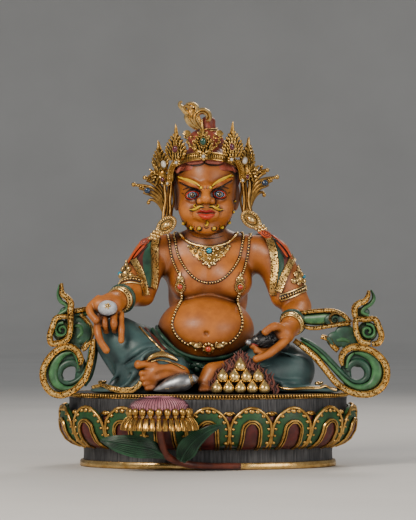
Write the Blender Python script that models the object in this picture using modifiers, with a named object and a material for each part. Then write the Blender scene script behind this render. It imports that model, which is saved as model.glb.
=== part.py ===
"""A seated god of wealth in royal ease on a lotus throne: a small cast copper statue, painted.

Run with: blender --background --python part.py
Metres, +Z up. The figure faces -Y, its right hand is at -X, and the throne's underside is at the origin.
"""

import math

import bmesh
import bpy
from mathutils import Euler, Matrix, Vector

MM = 0.001

# The throne. Widths and depths are of its foot, and every ring above stands out from the foot's oval.
FOOT_WIDTH = 228 * MM
FOOT_DEPTH = 144 * MM
THRONE_HEIGHT = 66 * MM
FOOT_BAND_HEIGHT = 6.0 * MM
WAIST_HEIGHT = 13.0 * MM
WAIST_SETBACK = 2.0 * MM
PETAL_HEIGHT = 36.0 * MM
PETAL_OVERHANG = 19.5 * MM
PETAL_GROOVE = 6.0 * MM
PETAL_ARCH = 8.0 * MM
PETAL_COUNT = 18
COLUMNS_A_PETAL = 6
DRUM_OVERHANG = 11.0 * MM
RIM_OVERHANG = 2.0 * MM
RIM_HEIGHT = 3.2 * MM

# The figure, drawn in millimetres above its seat at this height from seat to hair jewel.
FIGURE_HEIGHT = 264 * MM
DRAWN_HEIGHT = 264.0

# Touching pieces keep this clearance.
CLEARANCE = 0.3 * MM

# The things set on and before the throne, each at its own size.
CONCH_LENGTH = 42 * MM
CONCH_RADIUS = 8.2 * MM
CONCH_X = -28 * MM
CONCH_SETBACK = 14 * MM
JEWEL_RADIUS = 5.2 * MM
JEWEL_HEIGHT = 12.0 * MM
JEWEL_ROWS = (5, 4, 1)
PILE_X = 28.5 * MM
PILE_SETBACK = 17 * MM
FLAME_HEIGHT = 12 * MM
LOTUS_RADIUS = 32.5 * MM
LOTUS_DEPTH_SHARE = 0.74
LOTUS_X = -42 * MM
LOTUS_UNDERSIDE = 36.5 * MM
LOTUS_STAND_OFF = 38 * MM
LOTUS_PETALS = 15
STEM_RADIUS = 3.2 * MM

# How hard the reduction holds back where fine detail is asked for, in its own measure of error.
FINE_DETAIL_WEIGHT = 80.0

TRIANGLES = {
    "figure": 2800,
    "crown": 660,
    "hair_jewel": 200,
    "earring": 80,
    "scarf_scroll": 470,
    "mongoose": 130,
    "jewel_pile": 740,
    "stem_and_leaves": 260,
}


def clear_scene():
    for obj in list(bpy.data.objects):
        bpy.data.objects.remove(obj)


def make_collection(name):
    collection = bpy.data.collections.new(name)
    bpy.context.scene.collection.children.link(collection)
    return collection


def material(name, colour, roughness, metallic=0.0):
    made = bpy.data.materials.new(name)
    made.use_nodes = True
    shader = made.node_tree.nodes["Principled BSDF"]
    shader.inputs["Base Color"].default_value = (*colour, 1)
    shader.inputs["Roughness"].default_value = roughness
    shader.inputs["Metallic"].default_value = metallic
    return made


def new_object(name, bm, collection, finish):
    """The bmesh as an object, which takes its name and one material."""
    mesh = bpy.data.meshes.new(name)
    bm.to_mesh(mesh)
    bm.free()
    mesh.materials.append(finish)
    obj = bpy.data.objects.new(name, mesh)
    collection.objects.link(obj)
    return obj


def bake(obj):
    """Puts what the modifiers make into the object's own mesh."""
    bpy.context.view_layer.update()
    graph = bpy.context.evaluated_depsgraph_get()
    mesh = bpy.data.meshes.new_from_object(obj.evaluated_get(graph))
    obj.modifiers.clear()
    obj.data = mesh


def triangle_count(obj):
    return sum(len(p.vertices) - 2 for p in obj.data.polygons)


def fuse(obj, voxel, smoothing, triangles, fine_detail=None):
    """Joins the overlapping shapes of one object into one skin and brings it down to a count of triangles.

    fine_detail is a function of a point that says, from 0 to 1, how much finer the skin stays there.
    """
    remesh = obj.modifiers.new("join", "REMESH")
    remesh.mode = "VOXEL"
    remesh.voxel_size = voxel
    bake(obj)
    smooth = obj.modifiers.new("soften", "SMOOTH")
    smooth.factor = 0.5
    smooth.iterations = smoothing
    reduce = obj.modifiers.new("reduce", "DECIMATE")
    reduce.ratio = min(1.0, triangles / triangle_count(obj))
    if fine_detail:
        group = obj.vertex_groups.new(name="fine_detail")
        for vert in obj.data.vertices:
            group.add([vert.index], 1 - 0.5 * fine_detail(vert.co), "REPLACE")
        reduce.vertex_group = group.name
        reduce.vertex_group_factor = FINE_DETAIL_WEIGHT
    obj.data.transform(Matrix.Scale(1 / MM, 4))
    bake(obj)
    obj.data.transform(Matrix.Scale(MM, 4))
    obj.vertex_groups.clear()
    keep_largest_body(obj)


def keep_largest_body(obj):
    """Removes the crumbs that a cut or a join leaves beside the main body."""
    bm = bmesh.new()
    bm.from_mesh(obj.data)
    unseen = set(bm.verts)
    bodies = []
    while unseen:
        body = {unseen.pop()}
        edge_of_body = list(body)
        while edge_of_body:
            vert = edge_of_body.pop()
            for edge in vert.link_edges:
                other = edge.other_vert(vert)
                if other in unseen:
                    unseen.remove(other)
                    body.add(other)
                    edge_of_body.append(other)
        bodies.append(body)
    bodies.sort(key=len)
    for body in bodies[:-1]:
        bmesh.ops.delete(bm, geom=list(body), context="VERTS")
    bm.to_mesh(obj.data)
    bm.free()


def cut(obj, cutter, keep_cutter=False):
    boolean = obj.modifiers.new("cut", "BOOLEAN")
    boolean.operation = "DIFFERENCE"
    boolean.solver = "EXACT"
    boolean.object = cutter
    bake(obj)
    keep_largest_body(obj)
    if not keep_cutter:
        bpy.data.objects.remove(cutter)


def swollen_copy(obj, by, collection):
    """A copy of an object whose every point is moved out along its normal, to cut its neighbours with."""
    bm = bmesh.new()
    bm.from_mesh(obj.data)
    bm.normal_update()
    moves = [(vert, vert.normal * by * min(vert.calc_shell_factor(), 2.0)) for vert in bm.verts]
    for vert, move in moves:
        vert.co += move
    copy = new_object(obj.name + "_cutter", bm, collection, obj.data.materials[0])
    copy.hide_render = True
    copy.display_type = "WIRE"
    return copy


def keep_clear_of(obj, neighbours, cutters):
    """Takes from an object what its neighbours fill, with the clearance round them."""
    for neighbour in neighbours:
        cut(obj, swollen_copy(neighbour, CLEARANCE * 1.3, cutters))


def slab(name, low, high, collection, finish):
    bm = bmesh.new()
    middle = (Vector(low) + Vector(high)) / 2
    size = Vector(high) - Vector(low)
    bmesh.ops.create_cube(bm, size=1, matrix=Matrix.Translation(middle) @ Matrix.Diagonal((*size, 1)))
    obj = new_object(name, bm, collection, finish)
    obj.hide_render = True
    obj.display_type = "WIRE"
    return obj


def add_ball(bm, centre, radii, turn=(0, 0, 0), segments=20, rings=12):
    """An ellipsoid, its radii along its own axes, turned by degrees about X, Y and Z."""
    rotation = Euler([math.radians(a) for a in turn]).to_matrix().to_4x4()
    place = Matrix.Translation(centre) @ rotation @ Matrix.Diagonal((*radii, 1))
    bmesh.ops.create_uvsphere(bm, u_segments=segments, v_segments=rings, radius=1, matrix=place)


def add_limb(bm, stations, segments=16):
    """A round limb through stations of centre and radius: a cone between each two, and a ball at each."""
    for (start, start_radius), (end, end_radius) in zip(stations, stations[1:]):
        start, end = Vector(start), Vector(end)
        along = end - start
        turn = Vector((0, 0, 1)).rotation_difference(along).to_matrix().to_4x4()
        place = Matrix.Translation((start + end) / 2) @ turn
        bmesh.ops.create_cone(
            bm,
            cap_ends=True,
            segments=segments,
            radius1=start_radius,
            radius2=end_radius,
            depth=along.length,
            matrix=place,
        )
    for centre, radius in stations:
        add_ball(bm, centre, (radius,) * 3, segments=segments, rings=segments // 2)


def smooth_path(points, steps):
    """A Catmull-Rom curve through points of any dimension, with this many steps between each two."""
    rows = [Vector(p) for p in points]
    rows = [2 * rows[0] - rows[1], *rows, 2 * rows[-1] - rows[-2]]
    path = []
    for a, b, c, d in zip(rows, rows[1:], rows[2:], rows[3:]):
        for step in range(steps):
            t = step / steps
            path.append(
                0.5 * (2 * b + (c - a) * t + (2 * a - 5 * b + 4 * c - d) * t * t + (3 * b - a - 3 * c + d) * t**3)
            )
    path.append(rows[-2])
    return path


# The lotus throne


def oval(half_width, half_depth, angle, out):
    """The point at an angle round an oval, moved out along its normal. Angle 0 is the front."""
    x, y = half_width * math.sin(angle), -half_depth * math.cos(angle)
    normal = Vector((x / half_width**2, y / half_depth**2)).normalized()
    return Vector((x, y)) + normal * out


def even_angles(half_width, half_depth, count):
    """Angles that stand at even lengths round an oval, the first at the front."""
    fine = 3600
    lengths = [0.0]
    last = oval(half_width, half_depth, 0, 0)
    for step in range(1, fine + 1):
        point = oval(half_width, half_depth, 2 * math.pi * step / fine, 0)
        lengths.append(lengths[-1] + (point - last).length)
        last = point
    angles, at = [], 0
    for index in range(count):
        wanted = lengths[-1] * index / count
        while lengths[at + 1] < wanted:
            at += 1
        share = (wanted - lengths[at]) / (lengths[at + 1] - lengths[at])
        angles.append(2 * math.pi * (at + share) / fine)
    return angles


def throne_rings(across):
    """(out, height) of each ring of the throne, bottom to top, at a place across a petal from -1 to 1."""
    waist_top = FOOT_BAND_HEIGHT + WAIST_HEIGHT
    arch = 1 - math.sqrt(max(0.0, 1 - (0.96 * across) ** 2))
    groove = PETAL_GROOVE * abs(across) ** 3
    tip = waist_top + PETAL_HEIGHT - PETAL_ARCH * arch
    ledge = tip - 2.0 * MM
    inner_tip = waist_top + PETAL_HEIGHT - PETAL_ARCH * 0.45 * (1 - across**2) - 2.5 * MM
    return [
        (0.0, 0.0),
        (1.0 * MM, FOOT_BAND_HEIGHT * 0.5),
        (-WAIST_SETBACK, FOOT_BAND_HEIGHT),
        (-WAIST_SETBACK, waist_top),
        (PETAL_OVERHANG * 0.62 - groove, waist_top + PETAL_HEIGHT * 0.12),
        (PETAL_OVERHANG * 0.96 - groove, waist_top + PETAL_HEIGHT * 0.36),
        (PETAL_OVERHANG - groove, waist_top + PETAL_HEIGHT * 0.62),
        (PETAL_OVERHANG * 0.96 - groove * 1.2, tip),
        (PETAL_OVERHANG * 0.80 - groove, ledge),
        (DRUM_OVERHANG, inner_tip),
        (DRUM_OVERHANG, THRONE_HEIGHT - RIM_HEIGHT),
        (DRUM_OVERHANG + RIM_OVERHANG, THRONE_HEIGHT - RIM_HEIGHT * 0.6),
        (DRUM_OVERHANG, THRONE_HEIGHT),
    ]


def lotus_throne(collection, finish):
    """One skin of rings round the oval: foot band, waist, a row of swelling petals, drum and rim."""
    columns = PETAL_COUNT * COLUMNS_A_PETAL
    bm = bmesh.new()
    grid = []
    for column, angle in enumerate(even_angles(FOOT_WIDTH / 2, FOOT_DEPTH / 2, columns)):
        across = (column % COLUMNS_A_PETAL) / COLUMNS_A_PETAL * 2
        across = across if across <= 1 else across - 2
        grid.append(
            [
                bm.verts.new((*oval(FOOT_WIDTH / 2, FOOT_DEPTH / 2, angle, out), height))
                for out, height in throne_rings(across)
            ]
        )
    for left, right in zip(grid, grid[1:] + grid[:1]):
        for ring in range(len(left) - 1):
            bm.faces.new((left[ring], right[ring], right[ring + 1], left[ring + 1]))
    bm.faces.new([column[0] for column in reversed(grid)])
    bm.faces.new([column[-1] for column in grid])
    bmesh.ops.recalc_face_normals(bm, faces=bm.faces)
    return new_object("lotus_throne", bm, collection, finish)


# The figure


def body_point(x, y, z):
    """A point of the figure, given in drawn millimetres from the middle of its seat."""
    seat = Vector((0, 0, THRONE_HEIGHT + CLEARANCE))
    return Vector((x, y, z)) * (FIGURE_HEIGHT / DRAWN_HEIGHT) + seat


def body_size(*lengths):
    return tuple(length * FIGURE_HEIGHT / DRAWN_HEIGHT for length in lengths)


def body_limb(bm, *stations):
    """A limb of the figure through (x, y, z, radius) stations in drawn millimetres."""
    add_limb(bm, [(body_point(*s[:3]), body_size(s[3])[0]) for s in stations])


def body_ball(bm, centre, radii, turn=(0, 0, 0)):
    add_ball(bm, body_point(*centre), body_size(*radii), turn)


def add_head(bm):
    """The head turned a little to its right, with the heavy brows and jaw of a guardian."""
    middle = -1.8
    body_ball(bm, (middle, 6, 184), (28.5, 31, 33))
    body_ball(bm, (middle, -2, 162), (23.5, 22, 20.5))
    body_ball(bm, (middle, 8, 197), (30.5, 32, 25))
    body_ball(bm, (middle, 20, 176), (26, 19, 32))
    body_limb(bm, (middle, -24, 181, 3.5), (middle, -31, 171, 4.6))
    body_ball(bm, (middle, -24, 159), (10, 5, 5))
    body_ball(bm, (middle, -20, 146), (9, 6, 5))
    for side in (-1, 1):
        body_ball(bm, (middle + side * 4.5, -27, 170), (4, 4, 3.2))
        body_ball(bm, (middle + side * 12, -21.5, 176.5), (5.6, 5, 4.6))
        body_ball(bm, (middle + side * 14, -13, 164), (11, 11, 11))
        body_limb(bm, (middle + side * 5, -25, 182.5, 2.6), (middle + side * 20, -16, 190, 3.0))
        body_ball(bm, (middle + side * 30, 6, 172), (4.0, 7, 15))
        body_limb(bm, (side * 32.5, 3, 178, 3.6), (side * 35, 0, 168, 3.8), (side * 35, -4, 156, 3.6))
    body_ball(bm, (-2.5, 8, 227), (17, 17, 12))
    body_limb(bm, (0, 8, 232, 10), (0.5, 8, 244, 6.5))


def add_torso(bm):
    body_ball(bm, (0, 18, 26), (52, 40, 27))
    body_ball(bm, (-2, 2, 56), (44, 42, 32))
    body_ball(bm, (0, 22, 86), (37, 26, 40))
    body_ball(bm, (0, 15, 113), (43, 25, 27))
    body_limb(bm, (0, 10, 126, 16), (-1, 8, 146, 14.5))
    for side in (-1, 1):
        body_ball(bm, (side * 18, -2, 99), (21, 15, 17))
        body_limb(bm, (0, 12, 138, 9), (side * 47, 12, 129, 11))


def add_right_arm(bm):
    """The arm on the raised knee, its open hand hanging with a fruit in the palm."""
    body_limb(bm, (-52, 12, 120, 17), (-63, -2, 104, 16.5), (-68, -20, 88, 13), (-82, -50, 81, 9.5))
    body_ball(bm, (-89, -60, 74), (13, 8, 11))
    body_ball(bm, (-87, -69, 74), (8, 6.5, 7.5))
    body_limb(bm, (-96, -66, 62, 3.8), (-93.5, -70, 49, 3.5), (-88.5, -71, 40, 3.2))
    body_limb(bm, (-88, -68, 62, 3.8), (-86, -72, 51, 3.4), (-84, -70, 46, 3.2))
    body_limb(bm, (-82, -67, 64, 3.8), (-80, -71, 52, 3.4), (-79, -69, 46, 3.2))
    body_limb(bm, (-76, -64, 70, 3.5), (-75, -68, 56, 3.2), (-75, -67, 47, 3.0))
    body_limb(bm, (-98, -58, 78, 4.5), (-102, -63, 74, 3.8), (-98, -67, 66, 3.2))


def add_left_arm(bm):
    """The arm at the left thigh, its hand closing round the mongoose."""
    body_limb(bm, (57, 12, 121, 18), (70, 8, 101, 15.5), (81, 3, 72, 12.5), (73, -34, 58, 8.5))
    body_ball(bm, (64, -45, 52), (10, 9, 10))
    body_limb(bm, (66, -50, 46, 4.4), (57, -57, 38, 3.9), (50, -60, 33, 3.4), (43, -61, 31, 3.0))
    body_limb(bm, (60, -46, 44, 4), (50, -54, 38, 3.6), (40, -57, 42, 3.0))
    body_limb(bm, (62, -50, 58, 4), (54, -56, 56, 3.4))


def add_right_leg(bm):
    """The leg with the raised knee: thigh, shin, the trouser hanging below and the foot with its sole in view."""
    body_limb(bm, (-24, 12, 22, 24), (-79, -36, 47, 19.5), (-34, -56, 24, 11.5))
    body_limb(bm, (-77, -38, 44, 18.5), (-62, -42, 12, 18.5), (-60, -42, 4, 18))
    body_limb(bm, (-60, -42, 30, 20), (-46, -44, 8, 16))
    body_ball(bm, (-72, -46, 2.5), (33, 15, 4.6))
    body_limb(bm, (-20, -58, 19, 8.5), (-33, -59, 21, 10), (-47, -60, 18.5, 9.5))
    body_ball(bm, (-46, -60, 10), (8, 7, 10))
    body_limb(bm, (-50, -62, 26, 4.2), (-60, -63, 26, 3.8))
    for index in range(4):
        drop = 18.5 - 4.6 * index
        body_limb(bm, (-50, -61, drop, 3.6), (-56 + 1.2 * index, -64, drop - 0.5, 3.3 - 0.2 * index))


def add_left_leg(bm):
    """The leg folded flat, its foot in front of the seat."""
    body_limb(bm, (26, 14, 25, 25), (73, -16, 20, 21.5), (28, -40, 14, 13))
    body_ball(bm, (87, -36, 2.0), (33, 14, 4.0))
    body_limb(bm, (22, -42, 18, 10), (8, -46, 18, 9.8), (-1, -50, 8, 7.5))
    for index in range(4):
        body_limb(bm, (-2, -51, 7, 3.4), (-6 + 3.2 * index, -56, 2.5, 2.8))


def add_waist_roll(bm):
    """The rolled waist of the trousers round the belly, and its knot."""
    turns = [math.radians(a) for a in range(-100, 101, 20)]
    roll = [(44 * math.sin(a) - 1, 4 - 42 * math.cos(a), 30 + 24 * (1 - math.cos(a)) ** 1.2, 3.4) for a in turns]
    body_limb(bm, *roll)
    body_ball(bm, (-10, -38, 24), (8, 6, 6))


def face_and_hands(point):
    """How much detail the figure's skin needs at a point: most on the face, and some on the hands and the foot."""
    needs = 0.0
    for x, y, z, reach, need in ((-2, -24, 168, 30, 1.0), (-88, -66, 58, 24, 0.6), (56, -54, 44, 20, 0.6), (-52, -62, 16, 18, 0.6)):
        if (point - body_point(x, y, z)).length < body_size(reach)[0]:
            needs = need
    return needs


def seated_figure(collection, cutters, finish):
    bm = bmesh.new()
    add_head(bm)
    add_torso(bm)
    add_right_arm(bm)
    add_left_arm(bm)
    add_right_leg(bm)
    add_left_leg(bm)
    add_waist_roll(bm)
    figure = new_object("figure", bm, collection, finish)
    fuse(figure, 1.5 * MM, 2, TRIANGLES["figure"], face_and_hands)
    seat = THRONE_HEIGHT + CLEARANCE
    reach = FOOT_WIDTH
    cut(figure, slab("floor_cutter", (-reach, -reach, -reach), (reach, reach, seat), cutters, finish))
    return figure


# What the figure wears and holds


def crown(collection, cutters, figure, finish):
    """A diadem of five leaves on a band, with a jewelled fan on a stalk at each ear."""
    bm = bmesh.new()
    band = []
    for step in range(33):
        a = math.radians(-160 + 10 * step)
        band.append((31 * math.sin(a) - 1.8, 7 - 34 * math.cos(a), 209 - 10 * (1 - math.cos(a)), 4.0))
    body_limb(bm, *band)
    leaves = (
        (-4, -27, 215, 0, 24, 14),
        (-28, -18, 211, 3, 29, 10.5),
        (21, -18, 214, 0, 28, 10.5),
        (-40, 2, 203, -6, 23, 8.5),
        (35, 2, 205, -3, 24, 8.5),
    )
    for x, y, z, lean, height, half_width in leaves:
        facing = math.degrees(math.atan2(x + 2, 20 - y))
        body_ball(bm, (x, y, z + 3), (half_width, 4, 12), (0, 0, facing))
        top = (x + height * math.sin(math.radians(lean)), y + 2, z + height)
        body_limb(bm, (x, y, z + 6, 6.5), (*top, 1.6))
        body_limb(bm, (x * 0.94, y, z - 8, 5.5), (x, y, z, 7))
    for side in (-1, 1):
        high = 0 if side < 0 else 6
        hub = (side * 49 - 3, 4, 176 + high, 4)
        body_limb(bm, (side * 33, 8, 196, 3.6), (side * 38 - 2, 6, 180, 3.8), (side * 40, 4, 166, 3.4))
        body_limb(bm, (side * 38 - 2, 6, 172, 3.6), hub, (side * 54 - 2, 3, 181 + high, 5))
        body_limb(bm, (side * 54 - 2, 3, 181 + high, 3.5), (side * 64 - 2.5, 3, 187 + high * 1.2, 1.8))
        body_limb(bm, hub, (side * 50 - 2, 4, 190 + high, 3.4), (side * 53 - 2.5, 4, 192.5 + high, 2.4))
        body_limb(bm, hub, (side * 51, 4, 172.5 + high, 2.2))
    made = new_object("crown", bm, collection, finish)
    fuse(made, 1.2 * MM, 2, TRIANGLES["crown"])
    keep_clear_of(made, [figure], cutters)
    return made


def hair_jewel(collection, cutters, figure, finish):
    """The gilt curling flame at the front of the topknot."""
    curl = ((-7, 237, 3), (-13, 241.5, 4.6), (-15, 248, 5), (-12, 254.5, 4.6), (-5, 255.5, 4), (1.5, 252.5, 3.4))
    curl += ((2.8, 247.5, 2.8), (0.5, 245.5, 2.0))
    tongue = ((-13, 252, 5), (-17, 257, 4.4), (-22, 259.5, 3), (-25, 260.3, 2.2))
    root = ((-6, 232, 5), (-6, 238, 4.4), (2, 240, 4.2))
    bm = bmesh.new()
    for strand in (curl, tongue, root):
        body_limb(bm, *((x, -5, z, radius) for x, z, radius in strand))
    made = new_object("hair_jewel", bm, collection, finish)
    fuse(made, 0.9 * MM, 2, TRIANGLES["hair_jewel"])
    keep_clear_of(made, [figure], cutters)
    return made


def earring(name, side, collection, cutters, neighbours, finish):
    """An oval medallion lying on the shoulder below the ear, with a leaf under it."""
    raised = 0 if side < 0 else 5
    bm = bmesh.new()
    body_ball(bm, (side * 37.5, -12, 149.5 + raised), (10.5, 4.5, 7), (0, side * 38, 0))
    body_ball(bm, (side * 47, -10, 140 + raised * 0.8), (6.5, 4, 4.5), (0, side * 40, 0))
    body_limb(bm, (side * 34, -3, 158 + raised, 3), (side * 37, -10, 151 + raised, 4))
    made = new_object(name, bm, collection, finish)
    fuse(made, 1.0 * MM, 2, TRIANGLES["earring"])
    keep_clear_of(made, neighbours, cutters)
    return made


# Every strand of a scarf scroll as (x, z, half width) in drawn millimetres: x out from the middle, z from the seat.
RIGHT_SCROLL = (
    ((101, 47, 3.5), (102.5, 39, 4.5), (104.5, 29, 6), (108.5, 19, 7), (115, 10, 7.5), (124, 4.5, 8.5), (132, 5.5, 9.5),
     (138, 13, 10.5), (138.5, 22, 10.5), (133, 30.5, 10.5), (124, 34, 9.5), (116, 37, 6), (112.5, 30, 3.8)),
    ((126, 46, 4), (133, 44.5, 4), (138.5, 47.5, 4.5), (138.5, 54, 4), (136.5, 63, 4.2), (131, 67, 3.6), (123, 67, 3.6)),
    ((124, 46.5, 3.6), (122, 52, 4), (121.5, 60, 3.8), (122, 69, 3.2), (121.5, 77, 3.4), (123.5, 83, 3.6), (129, 86, 3.6),
     (130.5, 92, 2.8), (130, 98, 1.6)),
    ((128, 53, 7), (129, 57, 7.5)),
    ((132, 71, 2.2), (126, 73, 2.5), (127, 78.5, 2.5), (131, 84, 2.5)),
    ((113, 67, 3.2), (106, 62, 3.6), (104, 54, 3.8), (107, 46, 3.6), (111, 40, 3.2), (117, 42, 4), (121, 48, 4)),
    ((112, 54, 7), (113, 60, 6)),
    ((120, 73, 3.6), (111, 74, 4.2), (102, 72, 4.4), (94, 70, 4)),
    ((101, 47, 3.4), (100, 55, 3.4), (97, 62, 4)),
)
LEFT_SCROLL = (
    ((79, 46, 3.4), (90, 39, 5.5), (100, 30, 7), (109, 21.5, 7.5), (118, 13, 8), (127, 6.5, 8), (137, 4.5, 8.5),
     (146, 9, 11), (150.5, 17, 11.5), (149, 25, 12), (142, 32, 11), (132, 34.5, 9.5), (123, 36, 7), (118, 30, 4.6), (120, 24, 5)),
    ((137, 44.5, 4), (145, 44, 4.2), (151, 48, 5), (151.5, 56, 4.5), (148.5, 63, 4.4), (142, 65, 3.6), (132, 64, 3.6)),
    ((136, 45, 3.6), (132, 51, 4), (130.5, 60, 3.6), (129.5, 70, 3.4), (130.5, 77, 3.4), (135, 80.5, 3.4), (140, 82, 3.5),
     (142.5, 87, 3.4), (144, 92, 1.8)),
    ((140, 51, 7), (142, 56, 7.5)),
    ((143, 67, 2.4), (138.5, 73, 2.6), (142, 77.5, 2.8), (146.5, 82, 2.8), (146, 89, 2.2)),
    ((84, 68, 5.5), (92, 65.5, 6.5), (101, 64.5, 7.2), (112, 65, 7.4), (121, 65, 6), (128, 62, 4.5)),
    ((104, 48, 3), (110, 43.5, 3.6), (116, 40, 4)),
    ((112, 50, 5), (120, 49, 7), (127, 49, 6.5)),
)


def scarf_scroll(name, side, strands, collection, cutters, neighbours, finish):
    """The floating scarf end beside the throne: a large volute, a small one over it and a licking tail."""
    bm = bmesh.new()
    for strand in strands:
        for x, z, radius in smooth_path(strand, 3):
            turned_back = 0.3 * max(0.0, 112 - x)
            radii = body_size(radius, 2.4 + 0.16 * radius, radius)
            add_ball(bm, body_point(side * x, -38 + turned_back, z), radii, segments=12, rings=8)
    made = new_object(name, bm, collection, finish)
    fuse(made, 1.1 * MM, 2, TRIANGLES["scarf_scroll"])
    keep_clear_of(made, neighbours, cutters)
    return made


def mongoose(collection, cutters, neighbours, finish):
    """The jewel-spitting mongoose under the left hand."""
    bm = bmesh.new()
    body_limb(bm, (64, -36, 42, 7), (55, -46, 47, 8), (47, -52, 47, 7.5), (42, -55, 46, 5.5), (38, -57, 45, 3.6))
    body_ball(bm, (35.5, -58.5, 45), (3.0, 3.0, 3.0))
    body_limb(bm, (50, -48, 42, 4), (44, -48, 32, 4))
    made = new_object("mongoose", bm, collection, finish)
    fuse(made, 1.0 * MM, 2, TRIANGLES["mongoose"])
    keep_clear_of(made, neighbours, cutters)
    return made


# What stands on and before the throne


def plate_front(x, setback):
    """A point on the plate, this far behind its front edge at x."""
    half_width = FOOT_WIDTH / 2 + DRUM_OVERHANG
    half_depth = FOOT_DEPTH / 2 + DRUM_OVERHANG
    edge = -half_depth * math.sqrt(1 - (x / half_width) ** 2)
    return Vector((x, edge + setback, THRONE_HEIGHT + CLEARANCE))


def conch(collection, cutters, neighbours, finish):
    """A turned spindle with a ringed shoulder, lying on the plate with its point to the figure's right."""
    profile = ((-0.5, 0.02), (-0.36, 0.36), (-0.18, 0.74), (0.04, 1.0), (0.22, 0.98), (0.33, 0.72), (0.36, 0.5), (0.42, 0.5))
    profile += ((0.44, 0.3), (0.5, 0.04))
    bm = bmesh.new()
    last = None
    for share, swell in profile:
        vert = bm.verts.new((swell * CONCH_RADIUS, 0, share * CONCH_LENGTH))
        if last:
            bm.edges.new((last, vert))
        last = vert
    made = new_object("conch", bm, collection, finish)
    screw = made.modifiers.new("turn", "SCREW")
    screw.steps = screw.render_steps = 14
    screw.use_merge_vertices = True
    screw.merge_threshold = 0.00001
    bake(made)
    lying = Matrix.Rotation(math.radians(74), 4, "Y")
    made.data.transform(lying)
    low = min(v.co.z for v in made.data.vertices)
    made.data.transform(Matrix.Translation(plate_front(CONCH_X, CONCH_SETBACK) - Vector((0, 0, low))))
    bm = bmesh.new()
    bm.from_mesh(made.data)
    bmesh.ops.remove_doubles(bm, verts=bm.verts, dist=0.00001)
    bmesh.ops.holes_fill(bm, edges=[e for e in bm.edges if e.is_boundary])
    bmesh.ops.recalc_face_normals(bm, faces=bm.faces)
    bm.to_mesh(made.data)
    bm.free()
    keep_clear_of(made, neighbours, cutters)
    return made


def jewel_places():
    """The middle of each jewel of the heap, seen from the front, bottom row first."""
    middle = plate_front(PILE_X, PILE_SETBACK)
    places = []
    for row, count in enumerate(JEWEL_ROWS):
        for index in range(count):
            across = (index - (count - 1) / 2) * 2.0 * JEWEL_RADIUS
            up = JEWEL_HEIGHT * (0.44 + 0.82 * row)
            places.append(middle + Vector((across, 2.0 * MM * row, up)))
    return places


def jewel_pile(collection, cutters, neighbours, finish):
    """A heap of egg-shaped jewels before a low wall of flames."""
    bm = bmesh.new()
    for place in jewel_places():
        add_ball(bm, place, (JEWEL_RADIUS, JEWEL_RADIUS, JEWEL_HEIGHT * 0.45), segments=16, rings=10)
        add_limb(bm, [(place, JEWEL_RADIUS * 0.85), (place + Vector((0, 0, JEWEL_HEIGHT * 0.52)), 1.0 * MM)], 12)
    middle = plate_front(PILE_X, PILE_SETBACK + 6.5 * MM)
    half_width = JEWEL_ROWS[0] * 1.08 * JEWEL_RADIUS
    height = JEWEL_HEIGHT * 0.82 * len(JEWEL_ROWS)
    for step in range(9):
        across = -1 + step / 4
        foot = middle + Vector((across * half_width, 0, 4 * MM))
        rise = height * (1 - abs(across)) - 2 * MM * (1 - abs(across))
        tip = foot + Vector((across * 5 * MM, 0, rise + FLAME_HEIGHT))
        add_limb(bm, [(foot, 4.5 * MM), (foot + Vector((0, 0, rise)), 3.6 * MM), (tip, 1.2 * MM)], 10)
    made = new_object("jewel_pile", bm, collection, finish)
    fuse(made, 0.9 * MM, 1, TRIANGLES["jewel_pile"])
    keep_clear_of(made, neighbours, cutters)
    seat = THRONE_HEIGHT + CLEARANCE
    reach = FOOT_WIDTH
    cut(made, slab("floor_cutter", (-reach, -reach, -reach), (reach, reach, seat), cutters, finish))
    return made


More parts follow.
